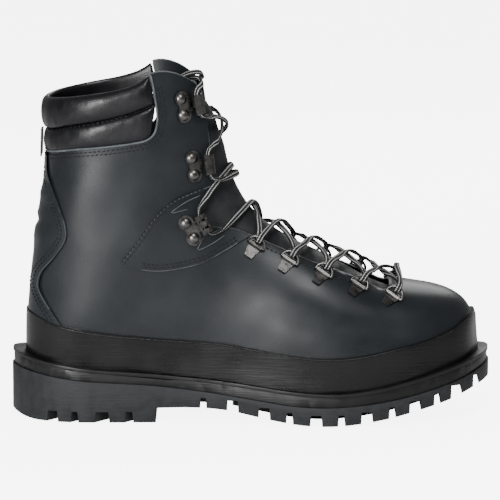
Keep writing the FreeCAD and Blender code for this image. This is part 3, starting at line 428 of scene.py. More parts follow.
THROAT_EDGE = [(-33.0, 136.0), (-31.0, 130.5), (-24.0, 127.6), (-12.0, 126.4), (0.0, 122.0),
               (20.0, 113.0), (40.0, 104.4), (60.0, 97.0), (76.0, 90.0), (84.0, 86.0),
               (89.5, 85.6), (92.0, 92.0)]
PIPING_LINE = [(-160.0, 172.0), (-132.0, 175.5), (-114.0, 179.0), (-95.0, 181.2), (-77.0, 183.6),
               (-68.0, 185.6), (-63.0, 189.6), (-61.0, 196.0)]
COLLAR_FRONT = [(-61.0, 196.0), (-60.8, 203.0), (-62.0, 212.0), (-63.4, 221.0), (-65.0, 228.8)]
ROLL_SEAM = [(-160.0, 186.0), (-131.0, 190.0), (-118.0, 193.6), (-102.0, 196.8), (-89.0, 199.8),
             (-77.0, 203.0), (-61.6, 208.6)]
BACKSTAY_EDGE = [(-133.7, 174.0), (-133.3, 162.0), (-130.3, 154.0), (-124.4, 139.5),
                 (-120.6, 128.0), (-121.0, 118.6), (-128.4, 107.0), (-136.3, 97.0),
                 (-139.0, 88.0), (-136.3, 80.7), (-130.3, 71.5), (-124.0, 62.8)]
PATCH_TOP = [(-84.0, 105.0), (-73.4, 118.6), (-60.0, 136.6), (-46.9, 146.6), (-26.2, 154.0)]
PATCH_FRONT = [(-26.2, 154.0), (-29.4, 144.4), (-33.4, 136.0), (-31.2, 130.0), (-24.0, 127.2),
               (-12.0, 126.0), (-0.5, 121.6)]
PATCH_LOW = [(-0.5, 121.6), (-8.0, 117.5), (-17.0, 112.4), (-30.3, 105.6), (-43.6, 101.8),
             (-60.0, 99.8), (-73.4, 101.2), (-84.0, 105.0)]
EDGE_RUN = FACING_EDGE + THROAT_EDGE[1:]
LEAF_HIGH = [(-33.5, 148.5), (-42.0, 145.0), (-48.5, 141.0), (-52.0, 138.0), (-47.5, 138.6),
             (-40.5, 140.2)]
LEAF_LOW = [(-31.0, 121.5), (-33.0, 117.5), (-34.5, 113.3), (-26.5, 116.4), (-17.0, 122.2)]
GAP = 0.1


def shifted(points: Sequence[Spot], dx: float, dz: float) -> list[Spot]:
    """The same run moved in the side view, in millimetres."""
    return [(x + dx, z + dz) for x, z in points]


def sky_slab(line: Sequence[Spot], rise: float) -> bpy.types.Object:
    """Solid of all that lies above a line that runs from heel to toe.

    Args:
        line: side view points from heel to toe.
        rise: millimetres that the solid starts above it.

    Returns:
        The trimming solid.
    """
    base = shifted(line, 0.0, rise)
    start, end = base[0], base[-1]
    return slab([base, [end, (end[0], SKY)], [(end[0], SKY), (start[0], SKY)], [(start[0], SKY), start]])


def forward_slab(line: Sequence[Spot], y_low: float = -FAR, y_high: float = FAR) -> bpy.types.Object:
    """Solid of all that lies forward of a line down the facing and along the throat.

    Args:
        line: side view points from the facing's top to the toe end of the throat.
        y_low: its outer side in millimetres.
        y_high: its inner side.

    Returns:
        The trimming solid.
    """
    low, front, middle, high = (99.0, 74.0), (99.0, 150.0), (0.0, 205.0), (-44.0, 221.0)
    corner = len(FACING_EDGE)
    return slab([line[:corner], line[corner - 1:], [line[-1], low], [low, front],
                 [front, middle], [middle, high], [high, line[0]]], y_low, y_high)


def throat_slab() -> bpy.types.Object:
    """Solid of the open throat between the facings."""
    return slab([FACING_EDGE, THROAT_EDGE, [(92.0, 92.0), (92.0, 150.0)], [(92.0, 150.0), (60.0, SKY)],
                 [(60.0, SKY), (-31.0, SKY)], [(-31.0, SKY), (-31.0, 214.0)]])


def mouth_slab() -> bpy.types.Object:
    """Solid of all that lies above the boot's top edge."""
    return slab([TOP_LINE, QUARTER_TOP, [(-31.0, 214.0), (-31.0, SKY)], [(-31.0, SKY), (-160.0, SKY)],
                 [(-160.0, SKY), (-160.0, 206.0)]])


def collar_slab() -> bpy.types.Object:
    """Solid of the area that the collar rolls take."""
    return slab([PIPING_LINE, COLLAR_FRONT, [(-65.0, 228.8), (-65.0, SKY)], [(-65.0, SKY), (-160.0, SKY)],
                 [(-160.0, SKY), (-160.0, 172.0)]])


# --------------------------------------------------------------------------- finishes

class Pattern(Enum):
    """What the small relief of a finish looks like."""

    GRAIN = "grain"
    BRUSHED = "brushed"
    CORK = "cork"
    SMOOTH = "smooth"


@dataclass(frozen=True)
class Finish:
    """Procedural surface finish: two close colours, small relief and a varied gloss."""

    name: str
    dark: tuple[float, float, float]
    light: tuple[float, float, float]
    pattern: Pattern = Pattern.GRAIN
    mottle: float = 0.02
    relief: float = 0.0006
    depth: float = 0.00005
    rough: tuple[float, float] = (0.4, 0.5)
    metallic: float = 0.0
    sheen: float = 0.0
    specular: float = 0.3

    def material(self) -> bpy.types.Material:
        """Build the material once and return it."""
        found = bpy.data.materials.get(self.name)
        if found:
            return found
        material = bpy.data.materials.new(self.name)
        material.use_nodes = True
        nodes, links = material.node_tree.nodes, material.node_tree.links
        shader = nodes["Principled BSDF"]
        shader.inputs["Metallic"].default_value = self.metallic
        shader.inputs["Sheen Weight"].default_value = self.sheen
        shader.inputs["Specular IOR Level"].default_value = self.specular
        place = nodes.new("ShaderNodeTexCoord")
        mottle = nodes.new("ShaderNodeTexNoise")
        mottle.inputs["Scale"].default_value = 1.0 / self.mottle
        mottle.inputs["Detail"].default_value = 5.0
        links.new(place.outputs["Object"], mottle.inputs["Vector"])
        ramp = nodes.new("ShaderNodeValToRGB")
        ramp.color_ramp.elements[0].position = 0.32
        ramp.color_ramp.elements[0].color = (*self.dark, 1.0)
        ramp.color_ramp.elements[1].position = 0.68
        ramp.color_ramp.elements[1].color = (*self.light, 1.0)
        links.new(mottle.outputs["Fac"], ramp.inputs["Fac"])
        links.new(ramp.outputs["Color"], shader.inputs["Base Color"])
        gloss = nodes.new("ShaderNodeMapRange")
        gloss.inputs["From Min"].default_value = 0.3
        gloss.inputs["From Max"].default_value = 0.7
        gloss.inputs["To Min"].default_value = self.rough[0]
        gloss.inputs["To Max"].default_value = self.rough[1]
        links.new(mottle.outputs["Fac"], gloss.inputs["Value"])
        links.new(gloss.outputs["Result"], shader.inputs["Roughness"])
        relief = self.relief_output(nodes, links, place)
        bump = nodes.new("ShaderNodeBump")
        bump.inputs["Strength"].default_value = 1.0
        bump.inputs["Distance"].default_value = self.depth
        links.new(relief, bump.inputs["Height"])
        links.new(bump.outputs["Normal"], shader.inputs["Normal"])
        return material

    def relief_output(self, nodes: bpy.types.Nodes, links: bpy.types.NodeLinks,
                      place: bpy.types.Node) -> bpy.types.NodeSocket:
        """Add the pattern's nodes.

        Args:
            nodes: the material's nodes.
            links: the material's links.
            place: the texture coordinate node.

        Returns:
            The socket that gives the relief's height.
        """
        stretch = nodes.new("ShaderNodeMapping")
        links.new(place.outputs["Object"], stretch.inputs["Vector"])
        if self.pattern is Pattern.BRUSHED:
            stretch.inputs["Scale"].default_value = (0.06, 0.06, 1.0)
        if self.pattern in (Pattern.GRAIN, Pattern.CORK):
            cells = nodes.new("ShaderNodeTexVoronoi")
            cells.inputs["Scale"].default_value = 1.0 / self.relief
            links.new(stretch.outputs["Vector"], cells.inputs["Vector"])
            return cells.outputs["Distance"]
        grains = nodes.new("ShaderNodeTexNoise")
        grains.inputs["Scale"].default_value = 1.0 / self.relief
        grains.inputs["Detail"].default_value = 6.0
        links.new(stretch.outputs["Vector"], grains.inputs["Vector"])
        return grains.outputs["Fac"]


SMOOTH_LEATHER = Finish("smooth_charcoal_leather", (0.0060, 0.0078, 0.0092), (0.0095, 0.0120, 0.0138),
                        mottle=0.03, relief=0.0007, depth=0.00003, rough=(0.30, 0.40))
COLLAR_LEATHER = Finish("soft_black_leather", (0.0026, 0.0026, 0.0034), (0.0046, 0.0046, 0.0058),
                        mottle=0.012, relief=0.0008, depth=0.00005, rough=(0.26, 0.38))
TONGUE_LEATHER = Finish("grained_grey_leather", (0.010, 0.011, 0.0125), (0.017, 0.018, 0.020),
                        mottle=0.008, relief=0.001, depth=0.00008, rough=(0.5, 0.62))
CUT_EDGE = Finish("cut_leather_edge", (0.045, 0.052, 0.057), (0.085, 0.095, 0.10),
                  mottle=0.006, relief=0.0004, depth=0.00004, rough=(0.5, 0.6))
THREAD = Finish("dark_thread", (0.0015, 0.002, 0.0026), (0.004, 0.005, 0.006), Pattern.SMOOTH,
                mottle=0.002, relief=0.0003, depth=0.00003, rough=(0.45, 0.6))
RAND_RUBBER = Finish("glossy_black_rubber", (0.0016, 0.0016, 0.0018), (0.0034, 0.0034, 0.0037),
                     Pattern.BRUSHED, mottle=0.02, relief=0.0012, depth=0.00012, rough=(0.24, 0.42))
SOLE_RUBBER = Finish("black_sole_rubber", (0.0022, 0.0022, 0.0024), (0.0042, 0.0042, 0.0046),
                     Pattern.BRUSHED, mottle=0.01, relief=0.0009, depth=0.00012, rough=(0.36, 0.5))
LUG_RUBBER = Finish("grey_lug_rubber", (0.0095, 0.010, 0.0112), (0.018, 0.019, 0.0208), Pattern.BRUSHED,
                    mottle=0.006, relief=0.0010, depth=0.00022, rough=(0.55, 0.7))
GUNMETAL = Finish("burnished_gunmetal", (0.075, 0.073, 0.071), (0.14, 0.136, 0.132), Pattern.SMOOTH,
                  mottle=0.004, relief=0.0015, depth=0.00003, rough=(0.22, 0.38), metallic=1.0)
FOAM = Finish("footbed_felt", (0.03, 0.03, 0.032), (0.055, 0.055, 0.058), Pattern.SMOOTH,
              mottle=0.004, relief=0.0006, depth=0.0001, rough=(0.85, 0.95), sheen=0.3)
CORK_MIX = Finish("cork_mix", (0.20, 0.11, 0.05), (0.36, 0.22, 0.11), Pattern.CORK,
                  mottle=0.003, relief=0.002, depth=0.0003, rough=(0.8, 0.9))
BOARD = Finish("pressed_board", (0.28, 0.20, 0.12), (0.36, 0.27, 0.17), Pattern.SMOOTH,
               mottle=0.005, relief=0.0008, depth=0.00005, rough=(0.8, 0.9))
SHANK_STEEL = Finish("spring_steel", (0.35, 0.35, 0.36), (0.5, 0.5, 0.5), Pattern.BRUSHED,
                     mottle=0.01, relief=0.0008, depth=0.00003, rough=(0.25, 0.35), metallic=1.0)
TIP_PLASTIC = Finish("black_tip_plastic", (0.006, 0.006, 0.007), (0.012, 0.012, 0.013), Pattern.SMOOTH,
                     mottle=0.004, relief=0.001, depth=0.00002, rough=(0.2, 0.3))


@dataclass(frozen=True)
class BraidFinish(Finish):
    """Flat braid: a black weave with pale threads that run along it."""

    stripes: tuple[float, ...] = (0.17, 0.33)
    stripe_half: float = 0.028
    pale: tuple[float, float, float] = (0.40, 0.40, 0.39)
    plait: float = 0.0016

    def material(self) -> bpy.types.Material:
        """Build the material once and return it."""
        found = bpy.data.materials.get(self.name)
        if found:
            return found
        material = bpy.data.materials.new(self.name)
        material.use_nodes = True
        nodes, links = material.node_tree.nodes, material.node_tree.links
        shader = nodes["Principled BSDF"]
        shader.inputs["Roughness"].default_value = 0.75
        shader.inputs["Specular IOR Level"].default_value = self.specular
        spot = nodes.new("ShaderNodeUVMap")
        spot.uv_map = "braid"
        parts = nodes.new("ShaderNodeSeparateXYZ")
        links.new(spot.outputs["UV"], parts.inputs["Vector"])
        round_way = self.math(nodes, links, "PINGPONG", parts.outputs["Y"], 0.5)
        marks = []
        for stripe in self.stripes:
            marks.append(self.math(nodes, links, "COMPARE", round_way, stripe, self.stripe_half))
        both = self.math(nodes, links, "MAXIMUM", marks[0], marks[1])
        along = self.math(nodes, links, "MULTIPLY", parts.outputs["X"], TAU / self.plait)
        slant = self.math(nodes, links, "MULTIPLY_ADD", parts.outputs["Y"], TAU * 2.0, along)
        ripple = self.math(nodes, links, "SINE", slant)
        level = nodes.new("ShaderNodeMapRange")
        level.inputs["From Min"].default_value = -1.0
        level.inputs["To Min"].default_value = 0.45
        links.new(ripple, level.inputs["Value"])
        shade = self.math(nodes, links, "MULTIPLY", both, level.outputs["Result"])
        mix = nodes.new("ShaderNodeMix")
        mix.data_type = "RGBA"
        mix.inputs["A"].default_value = (*self.dark, 1.0)
        mix.inputs["B"].default_value = (*self.pale, 1.0)
        links.new(shade, mix.inputs["Factor"])
        links.new(mix.outputs["Result"], shader.inputs["Base Color"])
        bump = nodes.new("ShaderNodeBump")
        bump.inputs["Distance"].default_value = self.depth
        links.new(ripple, bump.inputs["Height"])
        links.new(bump.outputs["Normal"], shader.inputs["Normal"])
        return material

    @staticmethod
    def math(nodes: bpy.types.Nodes, links: bpy.types.NodeLinks, operation: str,
             first: bpy.types.NodeSocket, second: object = None, third: object = None,
             ) -> bpy.types.NodeSocket:
        """Add a math node.

        Args:
            nodes: the material's nodes.
            links: the material's links.
            operation: the node's operation.
            first: its first input.
            second: a socket or a number.
            third: a socket or a number.

        Returns:
            The node's output.
        """
        node = nodes.new("ShaderNodeMath")
        node.operation = operation
        links.new(first, node.inputs[0])
        for slot, value in ((1, second), (2, third)):
            if isinstance(value, bpy.types.NodeSocket):
                links.new(value, node.inputs[slot])
            elif value is not None:
                node.inputs[slot].default_value = value
        return node.outputs[0]


LACE_BRAID = BraidFinish("striped_flat_braid", (0.004, 0.004, 0.0045), (0.02, 0.02, 0.02), depth=0.00012)


# --------------------------------------------------------------------------- trimmings

@dataclass
class Seam:
    """A row of stitches that follows a run of side view points on one side of the boot."""

    run: Sequence[Spot]
    side: int
    lift: float
    length: float = 2.1
    pitch: float = 3.0
    thick: float = 0.42

    def path(self, spacing: float) -> list[tuple[Vector, Vector]]:
        """Evenly spaced points and outward directions along the run.

        Args:
            spacing: metres from one point to the next.

        Returns:
            Pairs of a point and the direction out of the surface.
        """
        rough = [LAST.spot(x, z, self.side, self.lift) for x, z in curve_through(self.run, 8)]
        out = [rough[0]]
        left = spacing
        for (start, up_start), (end, up_end) in zip(rough, rough[1:]):
            run = (end - start).length
            done = 0.0
            while run - done >= left:
                done += left
                part = done / run
                out.append((start.lerp(end, part), up_start.lerp(up_end, part).normalized()))
                left = spacing
            left -= run - done
        return out


def capsule() -> tuple[list[Vector], list[list[int]]]:
    """One stitch of unit length along X, modelled once.

    Returns:
        Its points and its faces.
    """
    clear_selection()
    bpy.ops.mesh.primitive_uv_sphere_add(segments=6, ring_count=5, radius=0.5)
    ball = bpy.context.active_object
    points = [vertex.co.copy() for vertex in ball.data.vertices]
    faces = [list(polygon.vertices) for polygon in ball.data.polygons]
    bpy.data.objects.remove(ball)
    return [Vector((p.z, p.x, p.y)) for p in points], faces


STITCH = capsule()


def stitches(name: str, seams: Sequence[Seam]) -> bpy.types.Object:
    """Sew rows of stitches and join them into one piece.

    Args:
        name: the object's name.
        seams: the rows to sew.

    Returns:
        The new object.
    """
    points: list[Vector] = []
    faces: list[list[int]] = []
    for seam in seams:
        path = seam.path(seam.pitch * MM)
        for (here, up), (there, _) in zip(path, path[1:]):
            along = (there - here).normalized()
            across = up.cross(along).normalized()
            middle = here.lerp(there, 0.5)
            first = len(points)
            for p in STITCH[0]:
                points.append(middle + (along * p.x * seam.length + across * p.y * seam.thick * 2.0
                                        + up * p.z * seam.thick * 1.5) * MM)
            faces += [[first + corner for corner in face] for face in STITCH[1]]
    piece = mesh_piece(name, points, faces)
    smooth(piece, 80.0)
    return piece


def strip(path: Sequence[tuple[Vector, Vector]], half: float, rise: float, corners: int = 8,
          ) -> tuple[list[Vector], list[list[int]]]:
    """Closed tube of oval section along a path.

    Args:
        path: points and the directions of the section's short axis.
        half: half width in metres.
        rise: half thickness in metres.
        corners: points round the section.

    Returns:
        Points and faces.
    """
    points: list[Vector] = []
    faces: list[list[int]] = []
    last = len(path) - 1
    for index, (here, up) in enumerate(path):
        along = (path[min(index + 1, last)][0] - path[max(index - 1, 0)][0]).normalized()
        across = up.cross(along).normalized()
        shrink = 0.45 if index in (0, last) else 1.0
        for corner in range(corners):
            turn = TAU * corner / corners
            points.append(here + across * math.cos(turn) * half * shrink
                          + along.cross(across) * math.sin(turn) * rise * shrink)
    for index in range(last):
        for corner in range(corners):
            after = (corner + 1) % corners
            a, b = index * corners, (index + 1) * corners
            faces.append([a + corner, a + after, b + after, b + corner])
    faces.append(list(reversed(range(corners))))
    faces.append([last * corners + corner for corner in range(corners)])
    return points, faces


def beads(name: str, seams: Sequence[Seam], half: float, rise: float) -> bpy.types.Object:
    """Edge beads along runs, joined into one piece.

    Args:
        name: the object's name.
        seams: the runs that the beads follow.
        half: half width in millimetres.
        rise: half thickness in millimetres.

    Returns:
        The new object.
    """
    points: list[Vector] = []
    faces: list[list[int]] = []
    for seam in seams:
        bead_points, bead_faces = strip(seam.path(1.4 * MM), half * MM, rise * MM)
        first = len(points)
        points += bead_points
        faces += [[first + corner for corner in face] for face in bead_faces]
    piece = mesh_piece(name, points, faces)
    recalculate(piece)
    smooth(piece, 60.0)
    return piece


def inset(run: Sequence[Spot], distance: float) -> list[Spot]:
    """The same run moved square to itself, to its left as it is walked.

    Args:
        run: side view points.
        distance: millimetres to the left; negative is to the right.

    Returns:
        The moved run.
    """
    out = []
    for index, (x, z) in enumerate(run):
        before = run[max(index - 1, 0)]
        after = run[min(index + 1, len(run) - 1)]
        dx, dz = after[0] - before[0], after[1] - before[1]
        size = math.hypot(dx, dz)
        out.append((x - dz / size * distance, z + dx / size * distance))
    return out


def both(run: Sequence[Spot], lift: float, **settings: float) -> list[Seam]:
    """The same row on the outer and the inner side."""
    return [Seam(run, side, lift, **settings) for side in (-1, 1)]


# --------------------------------------------------------------------------- sub-assemblies

@dataclass
class Sole:
    """Lug sole, midsole and welt, with their moulded edges eased."""

    ease_lugs: float = 0.5
    ease_layers: float = 0.8

    def build(self) -> None:
        """Copy the moulded parts, ease their edges and dress them."""
        for node, width, finish, slot in (
                ("outsole", self.ease_lugs, LUG_RUBBER, "outsole_rubber"),
                ("midsole", self.ease_layers, SOLE_RUBBER, "midsole_rubber"),
                ("welt", self.ease_layers, SOLE_RUBBER, "welt_rubber")):
            piece = eased_copy(node, width)
            dress(piece, finish)
            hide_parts(node)


def eased_copy(node: str, width: float) -> bpy.types.Object:
    """Copy a frame node and round its sharp edges.

    Args:
        node: the node's name.
        width: millimetres that each edge loses.

    Returns:
        The copy.
    """
    source = bpy.data.objects[node]
    piece = bpy.data.objects.new(node + "_moulded", source.data.copy())
    bpy.context.scene.collection.objects.link(piece)
    merge(piece)
    bpy.ops.object.mode_set(mode="EDIT")
    bpy.ops.mesh.select_all(action="SELECT")
    bpy.ops.mesh.dissolve_limited(angle_limit=math.radians(2.0))
    bpy.ops.object.mode_set(mode="OBJECT")
    apply(piece, "BEVEL", width=width * MM, segments=2, limit_method="ANGLE",
          angle_limit=math.radians(42.0), use_clamp_overlap=True)
    smooth(piece, 35.0)
    return piece


@dataclass
class Upper:
    """Leather skin with its creases, overlays, edges and stitching."""

    leather: float = 2.2
    overlay: float = 1.4
    overlay_sheet: float = 1.3
    crease_depth: float = 0.7
    crease_height: float = 66.0
    crease_slope: float = 0.12
    crease_half: float = 7.0
    stay_notches: tuple[float, ...] = (153.0, 140.0, 128.5, 115.0)
    stay_swell: float = 1.5

    def relief(self, place: float, turn: float) -> float:
        """Millimetres that the leather lies above or below the form."""
        spot = LAST.point(place, turn)
        soft = noise.noise(spot * 38.0) * 0.35 + noise.noise(spot * 90.0) * 0.12
        x, z = spot.x / MM, spot.z / MM
        above = z - self.crease_height + self.crease_slope * (x - 60.0)
        flex = math.exp(-(above / self.crease_half) ** 2) * ease(x / 40.0)
        return soft * ease(place / 4.0) - self.crease_depth * flex * ease((125.0 - x) / 30.0)

    def build(self) -> None:
        """Build the skin, the overlays and all that is sewn to them."""
        skin = wall("upper_skin", self.relief, self.leather, (4, 128))
        trim(skin, sky_slab(WELT_LINE, GAP), "INTERSECT")
        for tool in (throat_slab(), mouth_slab(), collar_slab()):
            trim(skin, tool, "DIFFERENCE")
        smooth(skin, 35.0)
        dress(skin, SMOOTH_LEATHER)
        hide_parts("upper_leather")
        self.overlays()
        self.edges()
        self.sewing()

    def overlays(self) -> None:
        """Backstay and ankle patches."""
        stay = wall("backstay_skin", self.stay_relief, self.overlay_sheet, (5, 128), 12.0)
        heel = slab([BACKSTAY_EDGE, [(-124.0, 62.8), (-124.0, 58.0)], [(-124.0, 58.0), (-160.0, 66.0)],
                     [(-160.0, 66.0), (-160.0, 171.0)], [(-160.0, 171.0), (-133.7, 174.0)]])
        trim(stay, heel, "INTERSECT")
        smooth(stay, 35.0)
        dress(stay, SMOOTH_LEATHER)
        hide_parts("backstay")
        for side, word, low, high in ((-1, "lateral", -FAR, -2.0), (1, "medial", 2.0, FAR)):
            patch = wall("patch_skin_" + word, lambda place, turn: self.overlay + self.relief(place, turn),
                         self.overlay_sheet, (6, 160), 8.0)
            trim(patch, slab([PATCH_TOP, PATCH_FRONT, PATCH_LOW], low, high), "INTERSECT")
            smooth(patch, 35.0)
            dress(patch, SMOOTH_LEATHER)
            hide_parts("ankle_patch_" + word)

    def stay_relief(self, place: float, turn: float) -> float:
        """Height of the backstay, with three soft ribs across the heel."""
        spot = LAST.point(place, turn)
        z = spot.z / MM
        middle = math.exp(-((abs(turn) - math.pi) / 0.55) ** 2)
        ribs = sum(math.exp(-((z - notch) / 2.0) ** 2) for notch in self.stay_notches)
        swell = ease((z - 108.0) / 8.0) * ease((158.0 - z) / 6.0)
        return self.overlay + middle * (self.stay_swell * swell - self.stay_swell * ribs * swell)

    def edges(self) -> None:
        """Cut edges that show as thin pale lines."""
        piping = PIPING_LINE[1:] + COLLAR_FRONT[1:]
        rim = QUARTER_TOP
        piece = beads("collar_piping", both([(-146.0, 174.0)] + piping, 0.9) + both(rim, -1.0), 0.75, 0.9)
        dress(piece, CUT_EDGE)
        piece = beads("overlay_edges", both(BACKSTAY_EDGE[:-1], 0.8) + both(PATCH_LOW[1:-1], 0.7)
                      + both(PATCH_TOP, 0.7), 0.45, 0.75)
        dress(piece, CUT_EDGE)
        leaves = both(LEAF_HIGH, 1.9) + both(LEAF_LOW, 1.9)
        dress(beads("leaf_edges", leaves, 0.35, 0.55), CUT_EDGE)
        piece = beads("throat_edges", both(FACING_EDGE, -1.1) + both(THROAT_EDGE[:-2], -1.1), 0.5, 1.05)
        dress(piece, CUT_EDGE)

    def sewing(self) -> None:
        """Double rows of stitches along every joint of the leather."""
        rows: list[Seam] = []
        collar_run = PIPING_LINE[1:-1] + [(-60.6, 195.0), (-60.2, 203.0), (-61.6, 212.0), (-63.0, 221.0)]
        for gap in (2.6, 4.8):
            rows += both(inset(collar_run, -gap), 0.35)
            rows += both(inset(PATCH_TOP[:-1] + [(-30.0, 152.6)], gap * 0.9 - 3.8), 1.75)
            rows += both(inset(PATCH_LOW[1:-1], gap * 0.9 - 6.2), 1.75)
            rows += both(inset(BACKSTAY_EDGE, -gap * 0.9 - 0.4), 1.75)
        rows += both(inset(THROAT_EDGE[4:-3], -3.4), 0.35)
        piece = stitches("upper_stitching", rows)
        dress(piece, THREAD)


@dataclass
class Rand:
    """Rubber rand round the foot, with a thin bead along its top."""

    stand: float = 2.4
    thick: float = 2.3

    def relief(self, place: float, turn: float) -> float:
        """Outer face of the rand: slightly dished between its top and the welt."""
        spot = LAST.point(place, turn)
        x, z = spot.x / MM, spot.z / MM
        low, high = height(WELT_LINE, x), height(RAND_LINE, x)
        part = min(max((z - low) / (high - low), 0.0), 1.0)
        dish = 0.7 * math.sin(math.pi * part)
        return self.stand - dish + noise.noise(spot * 60.0) * 0.12

    def build(self) -> None:
        """Trim the rand from a skin and add its bead."""
        piece = wall("rand_skin", self.relief, self.thick, (5, 160), -1.0)
        trim(piece, slab([shifted(WELT_LINE, 0.0, GAP), [(160.0, 44.1), (160.0, 76.0)],
                          list(reversed(RAND_LINE)), [(-160.0, 72.0), (-160.0, 44.7)]]), "INTERSECT")
        smooth(piece, 35.0)
        dress(piece, RAND_RUBBER)
        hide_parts("rand")
        top = shifted(RAND_LINE[2:-2], 0.0, -0.9)
        bead = beads("rand_bead", both(top, self.stand - 0.2), 0.6, 0.7)
        dress(bead, RAND_RUBBER)


@dataclass
class Collar:
    """Two padded rolls round the top of the shaft and the strap on their back."""

    columns: int = 150
    rows: int = 14
    inner: float = -2.0

    def roll(self, name: str, lower: Sequence[Spot], upper: Sequence[Spot], stand: float,
             swell: float, fronts: tuple[float, float]) -> bpy.types.Object:
        """Padded roll between two side view lines.

        Args:
            name: the object's name.
            lower: its lower line from heel to front.
            upper: its upper line.
            stand: millimetres that its edges lie above the form.
            swell: millimetres that its middle stands further out.
            fronts: x of its front end at the lower and the upper line.

        Returns:
            The new object.
        """
        points: list[Vector] = []
        faces: list[list[int]] = []
        lower, upper = curve_through(lower), curve_through(upper)
        ring = [(step / self.rows, 1.0) for step in range(self.rows + 1)]
        ring += [(1.0 - step / 4.0, 0.0) for step in range(5)]
        for column in range(self.columns + 1):
            share = 2.0 * column / self.columns - 1.0
            for rise, outer in ring:
                x_front = fronts[0] + (fronts[1] - fronts[0]) * rise
                z_front = height(lower, x_front) * (1.0 - rise) + height(upper, x_front) * rise
                front_turn = LAST.at(x_front, z_front, 1)[1]
                turn = math.pi + share * (math.pi - front_turn)
                place = self.place_at(turn, lower, upper, rise)
                spot = LAST.point(place, turn)
                end = ease((1.0 - abs(share)) / 0.045)
                crown = max(1.0 - abs(2.0 * rise - 1.0) ** 2.3, 0.0) ** 0.55
                run = turn * 38.0
                fold = noise.noise(Vector((run * 0.16, rise * 1.5, stand))) * 0.55
                gather = noise.noise(Vector((run * 0.55, rise * 2.0, 7.0 + stand))) * 0.3
                fade = abs(2.0 * rise - 1.0)
                lift = self.inner if not outer else (
                    stand * end + crown * swell * (0.35 + 0.65 * end) + fold * crown + gather * fade)
                points.append(spot + LAST.normal(place, turn) * lift * MM)
        count = len(ring)
        for column in range(self.columns):
            for index in range(count):
                after = (index + 1) % count
                a, b = column * count, (column + 1) * count
                faces.append([a + index, b + index, b + after, a + after])
        faces.append(list(range(count)))
        faces.append([self.columns * count + index for index in reversed(range(count))])
        piece = mesh_piece(name, points, faces)
        recalculate(piece)
        apply(piece, "SUBSURF", levels=1, render_levels=1)
        smooth(piece, 70.0)
        return piece

    @staticmethod
    def place_at(turn: float, lower: Sequence[Spot], upper: Sequence[Spot], rise: float) -> float:
        """Place on the form where a column reaches a share of the way between two lines."""
        low, high = 12.0, float(LAST.top)
        for _ in range(24):
            middle = 0.5 * (low + high)
            spot = LAST.point(middle, turn) / MM
            goal = height(lower, spot.x) * (1.0 - rise) + height(upper, spot.x) * rise
            if spot.z < goal:
                low = middle
            else:
                high = middle
        return 0.5 * (low + high)

    def build(self) -> None:
        """Build both rolls, the seam between them and the strap."""
        lower = self.roll("collar_roll_low", PIPING_LINE, ROLL_SEAM, 0.2, 2.6, (-64.5, -62.0))
        dress(lower, COLLAR_LEATHER)
        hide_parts("collar_lower_roll")
        upper = self.roll("collar_roll_high", ROLL_SEAM, TOP_LINE, 0.2, 4.0, (-62.2, -65.6))
        dress(upper, COLLAR_LEATHER)
        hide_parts("collar_upper_roll")
        seam = stitches("collar_seam", both(shifted(ROLL_SEAM[1:-1], 0.0, -0.6), 0.9, pitch=3.2))
        dress(seam, THREAD)
        self.strap()

    def strap(self) -> None:
        """Strap that stands up behind the collar at the heel."""
        tab = eased_copy("heel_strap", 0.3)
        tab.name = "heel_strap_skin"
        dress(tab, SMOOTH_LEATHER)
        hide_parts("heel_strap")


@dataclass
class Inside:
    """Lining, gussets, tongue and footbed."""

    tongue_rise: float = 2.6
    tongue_spread: float = 0.42

    @staticmethod
    def lining_relief(place: float, turn: float) -> float:
        """Lining's outer face: gathered near the top of the shaft."""
        spot = LAST.point(place, turn)
        top = ease((spot.z / MM - 178.0) / 20.0) * ease((-55.0 - spot.x / MM) / 12.0)
        folds = noise.noise(Vector((turn * 9.0, spot.z * 30.0, 3.0))) * 1.5
        ripples = noise.noise(Vector((turn * 26.0, spot.z * 60.0, 9.0))) * 0.7
        return -3.4 + min((folds + ripples) * top, 0.9 * top) - 0.6 * top

    def tongue_face(self, place: float, turn: float) -> float:
        """Outer face of the tongue, as the frame has it, with soft padding."""
        away = abs(turn)
        crown = ease(1.0 - away / self.tongue_spread)
        lift = self.tongue_rise * ease((place - 5.5) / 3.0)
        lean = 2.0 * self.tongue_rise * ease((place - 17.0) / 3.0)
        spot = LAST.point(place, turn)
        return -6.2 + crown * (lift - lean) + noise.noise(spot * 70.0) * 0.3 * crown

    def build(self) -> None:
        """Build the lining, both gussets, the tongue and the footbed."""
        lining = wall("lining_skin", self.lining_relief, 1.6, (4, 160), 2.0)
        trim(lining, sky_slab(WELT_LINE, GAP), "INTERSECT")
        for tool in (throat_slab(), mouth_slab()):
            trim(lining, tool, "DIFFERENCE")
        smooth(lining, 50.0)
        dress(lining, COLLAR_LEATHER)
        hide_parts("lining")
        back = shifted(EDGE_RUN, -7.0, -7.0)
        front = shifted(EDGE_RUN, 1.2, 1.5)
        for word, low, high in (("lateral", -FAR, -21.0), ("medial", 21.0, FAR)):
            gusset = wall("gusset_skin_" + word, lambda place, turn: -5.1, 1.0, (5, 160), 5.0)
            trim(gusset, forward_slab(back, low, high), "INTERSECT")
            trim(gusset, forward_slab(front, low, high), "DIFFERENCE")
            smooth(gusset, 50.0)
            dress(gusset, TONGUE_LEATHER)
            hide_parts("gusset_" + word)
        self.tongue()
        bed = eased_copy("footbed", 0.6)
        bed.name = "footbed_skin"
        dress(bed, FOAM)
        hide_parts("footbed")

    def tongue(self) -> None:
        """Padded tongue between the facings."""
        piece = wall("tongue_pad", self.tongue_face, 4.0, (6, 160), 4.0)
        back = shifted(EDGE_RUN, -11.0, -12.0)
        trim(piece, forward_slab(back), "INTERSECT")
        smooth(piece, 50.0)
        dress(piece, TONGUE_LEATHER)
        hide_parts("tongue")


